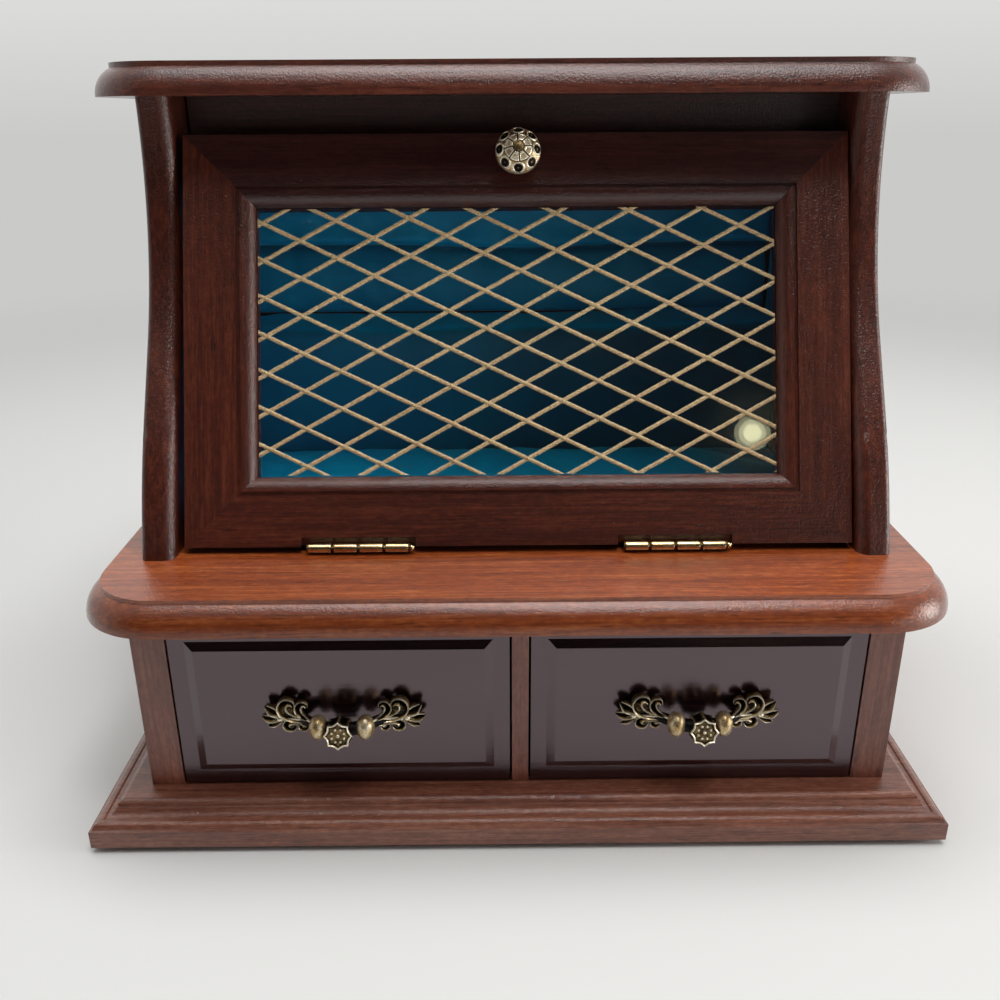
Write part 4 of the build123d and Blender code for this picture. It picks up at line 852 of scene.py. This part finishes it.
def cushion(name, node, section, half, voxel, held, cap, settle, painted_light):
    """Stuffed cover: an extruded section in mm, puffed up by cap mm at most, then folded."""
    count = len(section)
    points = [(side * half * MM, y * MM, z * MM) for side in (-1, 1) for y, z in section]
    faces = [(i, (i + 1) % count, count + (i + 1) % count, count + i) for i in range(count)]
    faces += [tuple(reversed(range(count))), tuple(range(count, 2 * count))]
    piece = new_piece(name, points, faces)
    remesh = piece.modifiers.new("remesh", "REMESH")
    remesh.mode = "VOXEL"
    remesh.voxel_size = voxel * MM
    apply(piece)
    start = positions(piece.data)
    end = swell(piece, held)
    move = end - start
    length = np.linalg.norm(move, axis=1, keepdims=True) + 1e-9
    put_at(piece.data, start + move / length * cap * np.tanh(length / cap))
    smooth = piece.modifiers.new("relax", "SMOOTH")
    smooth.factor = 0.5
    smooth.iterations = 3
    finer = piece.modifiers.new("finer", "SUBSURF")
    finer.levels = finer.render_levels = 1
    apply(piece)
    smoothed = positions(piece.data)
    # Painted shade and light per vertex, stored as the hollow attribute
    store(piece.data, [painted_light(*point) for point in smoothed])
    put_at(piece.data, np.array([settle(*point) for point in smoothed]))
    finish_piece(piece, SATIN, "base", smooth=0)
    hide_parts(node)


def pad_box(node):
    """Lower and upper corner of a pad in mm."""
    return [[value / MM for value in corner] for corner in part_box(node)]


(_, BACK_FACE, BACK_LOW), (INSIDE, BACK_END, BACK_HIGH) = pad_box("back_pad")
(_, LEDGE_FACE, _), (_, _, LEDGE_TOP) = pad_box("ledge_pad")
(_, FLOOR_FRONT, WAIST_TOP), (_, FLOOR_BACK, FLOOR_TOP) = pad_box("floor_pad")
# Where along x the fold is drawn in, and how strongly
TUFTS = [(-78.0, 1.3), (-31.0, 1.0), (1.0, 1.5), (47.0, 0.8), (88.0, 1.2)]


def wave(height, *at):
    """Random ripple of this height in mm."""
    return height * noise.noise(Vector(at))


def limited(low, value, high):
    return max(low, min(value, high))


def fold_z(x):
    """Height of the sewn fold: level at the ends, dipping a little near the middle."""
    return 190.6 - 1.9 * hump(x, 3.0, 42.0) + 0.5 * smooth_step(40.0, 90.0, x)


def rear_rise(x, y):
    """How far the ledge's cover rides up towards its right end, dying away at the back."""
    rise = 0.9 + 2.3 * smooth_step(10.0, 118.0, x)
    return rise * smooth_step(BACK_END, BACK_FACE + 1.0, y)


def back_held(x, y, z):
    if y > BACK_END - 1.0:
        return 1.0
    edge = max(abs(x) - (INSIDE - 3.5), z - (BACK_HIGH - 4.0), (BACK_LOW + 3.5) - z, 0.0)
    return min(1.0, 0.35 * edge + (0.9 if abs(z - fold_z(x)) < 1.4 else 0.0))


def back_settle(x, y, z):
    """Fold with a roll over it and tufts under it; the lower edge follows the ledge."""
    front = smooth_step(BACK_END - 1.5, BACK_END - 3.0, y)
    below = fold_z(x) - z
    crease = hump(below, 0.8, 1.5)
    crease += 0.4 * hump(below, 5.0, 6.0) * (1 if below > 0.8 else hump(below, 0.8, 1.0))
    roll = hump(below, -3.4, 3.2)
    tuft = 0
    if below > -0.5:
        drawn = (depth * hump(x, middle + 0.25 * below, 1.6) for middle, depth in TUFTS)
        tuft = smooth_step(9.0, 0.0, below) * sum(drawn)
    ripple = wave(0.35, x * 0.05, z * 0.16, 1.7) + wave(0.18, x * 0.16, z * 0.3, 8.3)
    y += front * (2.8 * crease - 2.2 * roll + 1.1 * tuft + ripple)
    z -= front * 1.6 * roll
    z += smooth_step(BACK_LOW + 16.0, BACK_LOW, z) * rear_rise(x, y) * 0.45
    return limited(0.1 - INSIDE, x, INSIDE - 0.1), limited(BACK_FACE - 1.6, y, BACK_END), z


def back_painted_light(x, y, z):
    """Painted light over the whole back, more over the roll; painted shade in the fold, fading
    below it.
    """
    below = fold_z(x) - z
    under = smooth_step(-0.4, 0.8, below) * exp(-max(below - 0.8, 0.0) / 5.5)
    return -0.5 + 1.1 * under - 0.12 * hump(below, -3.0, 2.5)


BACK_SECTION = [
    (BACK_END, BACK_LOW + 0.1), (BACK_FACE + 2.0, BACK_LOW + 0.1),
    (BACK_FACE + 1.4, BACK_LOW + 2.5), (BACK_FACE + 1.6, 184.5), (BACK_FACE + 3.6, 189.6),
    (BACK_FACE + 1.5, 193.5), (BACK_FACE + 1.5, BACK_HIGH - 6),
    (BACK_FACE + 3.4, BACK_HIGH - 0.6), (BACK_END, BACK_HIGH - 0.6),
]
cushion("back_cushion", "back_pad", BACK_SECTION, half=INSIDE - 0.9, voxel=2.4, held=back_held,
        cap=1.3, settle=back_settle, painted_light=back_painted_light)


def ledge_held(x, y, z):
    if y > LEDGE_FACE + 2.6 and z < LEDGE_TOP - 2.4:
        return 1.0
    edge = max(abs(x) - (INSIDE - 3.0), (WAIST_TOP + 3.0) - z, y - (BACK_END - 3.0), 0.0)
    return min(1.0, 0.4 * edge)


def ledge_settle(x, y, z):
    """A board cover: nearly flat face, a soft nose, and drawn lines slanting up to the right."""
    ripple = wave(0.3, x * 0.035 + z * 0.01, z * 0.09, 4.4) + wave(0.14, x * 0.12, z * 0.2, 2.2)
    if y < LEDGE_FACE + 2.6 or z > LEDGE_TOP - 2.4:
        top = smooth_step(LEDGE_TOP - 6.0, LEDGE_TOP - 1.0, z)
        z += top * (rear_rise(x, y) - 0.1 + ripple * smooth_step(BACK_END, BACK_FACE, y))
        y += (1 - top) * ripple
    x = limited(0.1 - INSIDE, x, INSIDE - 0.1)
    return x, limited(LEDGE_FACE - 0.4, y, BACK_END), max(z, WAIST_TOP)


def ledge_painted_light(x, y, z):
    """Painted light on top; painted shade on the face, deepening towards its right end."""
    face = smooth_step(LEDGE_FACE + 4.6, LEDGE_FACE + 1.6, y)
    return -0.65 + face * (0.85 + 0.5 * smooth_step(-100.0, 50.0, x))


LEDGE_SECTION = [
    (LEDGE_FACE + 3.9, WAIST_TOP), (LEDGE_FACE + 1.3, WAIST_TOP), (LEDGE_FACE + 0.9, WAIST_TOP + 3),
    (LEDGE_FACE + 0.9, LEDGE_TOP - 3.4), (LEDGE_FACE + 2.2, LEDGE_TOP - 1.2),
    (LEDGE_FACE + 4.4, LEDGE_TOP - 0.6), (BACK_FACE, LEDGE_TOP - 0.6), (BACK_END, LEDGE_TOP - 1.0),
    (BACK_END, LEDGE_TOP - 3.9), (LEDGE_FACE + 3.9, LEDGE_TOP - 3.9),
]
cushion("ledge_cushion", "ledge_pad", LEDGE_SECTION, half=INSIDE - 0.8, voxel=1.9, held=ledge_held,
        cap=0.7, settle=ledge_settle, painted_light=ledge_painted_light)


def floor_held(x, y, z):
    if z < WAIST_TOP + 1.0:
        return 1.0
    edge = max(abs(x) - (INSIDE - 5.0), FLOOR_FRONT + 3.0 - y, y - (FLOOR_BACK - 3.0), 0.0)
    return min(1.0, 0.3 * edge)


def floor_settle(x, y, z):
    """A crowned seat with long shallow dents and a pucker left of its middle."""
    top = smooth_step(WAIST_TOP + 1.5, WAIST_TOP + 3.5, z)
    ripple = wave(0.5, x * 0.03, y * 0.06, 6.1) + wave(0.16, x * 0.11, y * 0.17, 3.3)
    pucker = 0.5 * hump(x + y * 0.4, -14.0, 9.0) * hump(y, 12.0, 14.0)
    z += top * (ripple + pucker - 0.2)
    x = limited(2.0 - INSIDE, x, INSIDE - 2.0)
    return x, limited(FLOOR_FRONT, y, FLOOR_BACK), max(WAIST_TOP, z)


def floor_painted_light(x, y, z):
    """Painted light at the left end, changing in two steps to painted shade at the right."""
    return -0.55 + 0.5 * smooth_step(-90.0, 0.0, x) + 0.55 * smooth_step(10.0, 100.0, x)


FLOOR_SECTION = [
    (FLOOR_BACK - 0.2, WAIST_TOP), (FLOOR_FRONT + 0.4, WAIST_TOP),
    (FLOOR_FRONT + 0.4, WAIST_TOP + 2.6), (FLOOR_FRONT + 2.5, FLOOR_TOP - 1.7),
    (FLOOR_FRONT + 12, FLOOR_TOP - 1.1), (FLOOR_BACK - 12, FLOOR_TOP - 1.1),
    (FLOOR_BACK - 2.5, FLOOR_TOP - 1.7), (FLOOR_BACK - 0.2, WAIST_TOP + 2.6),
]
cushion("floor_cushion", "floor_pad", FLOOR_SECTION, half=INSIDE - 2.4, voxel=2.4, held=floor_held,
        cap=1.2, settle=floor_settle, painted_light=floor_painted_light)


# Linings without a simulation: cards on the side walls and felt trays in the drawers

CARD_THICK = 1.6


def side_card(name, side):
    """Thin padded card on a side wall: rolled edges, a slight crown and drawn wrinkles."""
    node = f"side_lining_{name}"
    low, high = (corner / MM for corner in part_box(node))
    slope = tan(DOOR_LEAN)
    heights = [low.z + (high.z - low.z) * k / 62 for k in range(63)]
    heights = sorted(heights + [LEDGE_TOP - 0.2, LEDGE_TOP + 0.3])
    rows = []
    for z in heights:
        front = low.y + (z - low.z) * slope
        back = high.y if z > LEDGE_TOP else LEDGE_FACE - 0.3
        outer, inner = [], []
        for k in range(73):
            y = front + (back - front) * k / 72
            edge = min(y - front, back - y, z - low.z, high.z - z)
            roll = sqrt(max(0.0, 1 - (1 - min(edge / 2.2, 1.0)) ** 2))
            crown = 0.86 + wave(0.14, y * 0.05, z * 0.05 - y * 0.02, 5.0 * side)
            crown *= 0.9 + 0.1 * hump(z, 150.0, 60.0)
            depth = 0.12 + (CARD_THICK - 0.3) * roll * crown
            outer.append((side * (INSIDE - 0.02), y, z))
            inner.append((side * (INSIDE - depth), y, z))
        rows.append(outer + inner[::-1])
    card = closed(rows)
    piece = card.build(f"side_card_{name}", SATIN, "base", "teal_satin", smooth=radians(70))
    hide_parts(node)


side_card("left", -1)
side_card("right", 1)

TRAY_WALL = 1.5
# Rows of the tray's profile on its outside and rim, which keep their shape
FIRM_ROWS = 8


def tray_ring(half_x, half_y, radius):
    """A rectangle with rounded corners, as 180 evenly spaced points."""
    ring = []
    for corner, (sx, sy) in enumerate(((1, -1), (1, 1), (-1, 1), (-1, -1))):
        for k in range(9):
            angle = radians(-90 + 90 * corner + 90 * k / 8)
            x = sx * (half_x - radius) + radius * cos(angle)
            ring.append((x, sy * (half_y - radius) + radius * sin(angle)))
    line = np.array(ring + ring[:1], float)
    span = np.concatenate([[0], np.cumsum(np.hypot(*np.diff(line, axis=0).T))])
    at = np.linspace(0, span[-1], 180, endpoint=False)
    return [(np.interp(s, span, line[:, 0]), np.interp(s, span, line[:, 1])) for s in at]


def felt_tray(side, seed):
    """Moulded felt tray: rolled rim, walls that lean in, a padded floor with soft corners."""
    node = f"drawer_{side}_lining"
    low, high = (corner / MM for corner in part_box(node))
    middle = (low + high) / 2
    half_x, half_y = (high.x - low.x) / 2, (high.y - low.y) / 2
    deep = high.z - low.z
    # Inset from the outside and height over the bottom
    profile = [(0.5, 0.0), (0.1, 0.5), (0.0, deep * 0.5), (0.0, deep - 0.9), (0.25, deep - 0.25)]
    profile += [(0.8, deep), (1.35, deep - 0.3), (1.55, deep - 1.0), (1.5, deep - 4)]
    profile += [(1.6, deep * 0.6), (1.8, deep * 0.3), (2.1, 5.0), (2.9, 3.0), (4.6, 1.9)]
    profile += [(7.5, TRAY_WALL + 0.2)]
    profile += [(share * half_x, TRAY_WALL + 0.25 + 0.5 * share)
                for share in (0.15, 0.25, 0.35, 0.5, 0.65, 0.8, 0.92, 0.985)]
    rows = []
    for index, (inset, rise) in enumerate(profile):
        wide, long = half_x - inset, half_y - inset
        ring = []
        for x, y in tray_ring(wide, long, min(max(4.0 - inset * 0.5, 2.2), wide - 0.2)):
            soft = 0.0
            if index >= FIRM_ROWS:
                soft = wave(0.28, x * 0.07, y * 0.07, rise * 0.07 + seed)
            x = middle.x + x * (1 - 0.004 * soft)
            ring.append((x, middle.y + y, low.z + max(0.0, rise + soft)))
        rows.append(ring)
    name, body = f"felt_tray_{side}", f"drawer_{side}"
    piece = closed(rows).build(name, FELT, body, "drawer_lining", smooth=radians(60))
    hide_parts(node)


felt_tray("left", 3)
felt_tray("right", 9)


# Printed lattice on the front of the pane, in the door's own plane

LATTICE_PITCH = 27.235, 14.005
LATTICE_TURN = radians(1.676)
LATTICE_SHIFT = Vector((2.4, -1.88))
LINE_WIDTH, LINE_THICK = 1.5, 0.15
STATION = 0.45


def lattice_lines(wide, high, centre):
    """Two families of flat lines with slightly broken edges that cover the opening."""
    angle = atan2(LATTICE_PITCH[1], LATTICE_PITCH[0])
    pitch = LATTICE_PITCH[0] * sin(angle)
    origin = Matrix.Rotation(LATTICE_TURN, 2) @ LATTICE_SHIFT
    reach = wide + high
    count = ceil(reach / pitch / 2)
    shape = Shape()
    for family, slope in enumerate((-1, 1)):
        heading = LATTICE_TURN + slope * angle
        run = Vector((cos(heading), sin(heading)))
        side = Vector((-run.y, run.x))
        top = LINE_THICK - 0.02 * family
        for index in range(-count, count + 1):
            base = origin + side * pitch * index
            spots = []
            t = -reach / 2
            while t < reach / 2:
                spot = base + run * t
                if abs(spot.x) < wide / 2 + 2 and abs(spot.y) < high / 2 + 2:
                    spots.append(spot)
                t += STATION
            if len(spots) < 4:
                continue
            rows = []
            for spot in spots:
                left, right = (LINE_WIDTH / 2 + random.uniform(-0.1, 0.07) for _ in range(2))
                left, right = spot - side * left, spot + side * right
                section = ((left, 0.0), (left, top), (right, top), (right, 0.0))
                rows.append([(p.x, p.y + centre, h) for p, h in section])
            shape.grid(rows, caps=False)
    return shape


def printed_lattice():
    """The lines, cut at the edge of the opening that the CAD lattice fills, on the pane's face."""
    to_door = DOOR.inverted()
    corners = [to_door @ Vector(v.co / MM) for v in nodes["gold_lattice"].data.vertices]
    low = [min(c[k] for c in corners) for k in range(3)]
    high = [max(c[k] for c in corners) for k in range(3)]
    wide, tall, centre = high[0] - low[0], high[1] - low[1], (high[1] + low[1]) / 2
    face = DOOR @ Matrix.Translation((0, 0, low[2]))
    shape = lattice_lines(wide, tall, centre)
    piece = shape.build("printed_lattice", GOLD, "door", "gold_print", smooth=0)
    edit = bmesh.new()
    edit.from_mesh(piece.data)
    for normal, limit in (((1, 0), wide), ((-1, 0), wide), ((0, 1), tall), ((0, -1), tall)):
        point = Vector((normal[0] * limit / 2, normal[1] * limit / 2 + centre, 0)) * MM
        everything = edit.verts[:] + edit.edges[:] + edit.faces[:]
        bmesh.ops.bisect_plane(
            edit, geom=everything, plane_co=point, plane_no=(*normal, 0), clear_outer=True
        )
    edit.transform(Matrix.Translation(face.translation * MM) @ face.to_3x3().to_4x4())
    edit.to_mesh(piece.data)
    edit.free()
    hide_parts("gold_lattice")


printed_lattice()


# Stage, light and camera


def pale_stage():
    """Floor that curves up into a backdrop; far off, the camera sees an even pale tone on it."""
    g = Graph("pale_stage")
    where = g.node("TexCoord").outputs["Object"]
    away = g.node("VectorMath", {0: where}, operation="LENGTH").outputs["Value"]
    fade = {"Value": away, "From Min": 0.55, "From Max": 1.3}
    far = g.node("MapRange", fade, interpolation_type="SMOOTHSTEP").outputs[0]
    parts = g.node("SeparateXYZ", {0: where}).outputs
    behind = g.math("GREATER_THAN", parts["Y"], 0.0)
    path = g.node("LightPath").outputs
    indirect = g.math("MAXIMUM", path["Is Glossy Ray"], path["Is Transmission Ray"])
    shown = g.math("MAXIMUM", path["Is Camera Ray"], g.times(indirect, behind))
    g.set(Base_Color=(0.74, 0.74, 0.73), Roughness=0.9, Specular_IOR_Level=0.2)
    tone = g.ramp(parts["Z"], (0.2, (0.59, 0.59, 0.58)), (0.95, (0.93, 0.93, 0.915)))
    even = g.node("Emission", {"Color": tone, "Strength": 1.0}).outputs[0]
    g.blend(g.times(far, shown), even)

    bend, flat, front, wide, tall = 0.7, 1.3, -3.0, 4.0, 3.0
    line = [(front, 0.0), (flat, 0.0)]
    for degrees in range(9, 91, 9):
        angle = radians(degrees)
        line.append((flat + bend * sin(angle), bend - bend * cos(angle)))
    line.append((flat + bend, tall))
    points = [(x, y, z) for y, z in line for x in (-wide, wide)]
    faces = [(2 * i, 2 * i + 1, 2 * i + 3, 2 * i + 2) for i in range(len(line) - 1)]
    mesh = new_mesh("stage", points, faces)
    mesh.materials.append(g.owner)
    mesh.shade_smooth()
    stage = put_in_scene("stage", mesh)


def lamp(name, place, aim, size, power, colour=(1, 1, 1)):
    """An area lamp aimed at a point: a rectangle by two sizes, a disc by one."""
    light = bpy.data.lights.new(name, "AREA")
    light.shape = "RECTANGLE" if len(size) == 2 else "DISK"
    light.size, light.size_y = size[0], size[-1]
    light.energy = power
    light.color = colour
    holder = put_in_scene(name, light)
    holder.location = place
    holder.rotation_euler = (Vector(aim) - Vector(place)).to_track_quat("-Z", "Y").to_euler()
    return light


pale_stage()
lamp("overhead", (0.02, 0.05, 1.5), (0, 0, 0.1), (1.1, 0.8), 14)
lamp("key", (0.22, -0.5, 1.3), (0, -0.05, 0.1), (0.28, 0.2), 2.4)
lamp("right_window", (1.05, -0.2, 0.25), (0, -0.05, 0.15), (0.4, 0.48), 4.6, (1.0, 0.97, 0.94))
lamp("right_low", (0.9, -0.85, 0.22), (0, 0, 0.15), (0.5, 0.22), 1.0)
front_floor = lamp("front_floor", (0, -1.5, 1.2), (0, -1.5, 0), (1.8, 0.7), 1.3)
front_floor.spread = radians(62)
# A warm lamp behind the camera, seen in the glass as a spot with a soft rim
LAMP_AT, LAMP_HIT = Vector((0.494, -1.433, 0.821)), Vector((0.088, -0.045, 0.136))
for step, (width, power) in enumerate(((0.034, 0.012), (0.052, 0.02), (0.07, 0.028))):
    spot = LAMP_AT + (LAMP_AT - LAMP_HIT).normalized() * 0.01 * step
    lamp(f"warm_lamp_{step}", spot, LAMP_HIT, (width,), power, (1.0, 0.97, 0.6))


def make_world():
    """Pale studio all round, with the room on the camera's side left dim up to its ceiling."""
    g = Graph("studio", bpy.data.worlds, "Background")
    bpy.context.scene.world = g.owner
    parts = g.node("SeparateXYZ")
    g.feed(parts.inputs[0], g.node("TexCoord").outputs["Generated"])
    ahead = g.times(parts.outputs["Y"], -1.0)
    front = g.ramp(ahead, (0.2, 0.0), (0.55, 1.0))
    between = g.ramp(parts.outputs["Z"], (0.74, 1.0), (0.9, 0.0))
    dim = g.mix(1.0, front, between, "MULTIPLY")
    room = g.mix(dim, (0.6, 0.6, 0.59), (0.015, 0.015, 0.017))
    camera_ray = g.node("LightPath").outputs["Is Camera Ray"]
    g.set(Color=g.mix(camera_ray, room, (0.68, 0.68, 0.67)), Strength=1.0)


make_world()
bpy.context.scene.view_settings.view_transform = "Standard"


def make_camera():
    """The photograph's camera, solved from its edges: place in mm, turns in degrees."""
    photo_pixels, focal_pixels, sensor = 1000, 981.18, 36
    yaw, pitch, roll = (radians(a) for a in (0.295, 21.527, -0.358))
    data = bpy.data.cameras.new("camera")
    data.sensor_width = sensor
    data.lens = focal_pixels * sensor / photo_pixels
    data.clip_start = 0.01
    camera = put_in_scene("camera", data)
    place = Matrix.Translation(Vector((-7.612, -394.472, 247.945)) * MM)
    heading = Matrix.Rotation(-yaw, 4, "Z") @ Matrix.Rotation(pi / 2 - pitch, 4, "X")
    camera.matrix_world = place @ heading @ Matrix.Rotation(roll, 4, "Z")
    bpy.context.scene.camera = camera


make_camera()
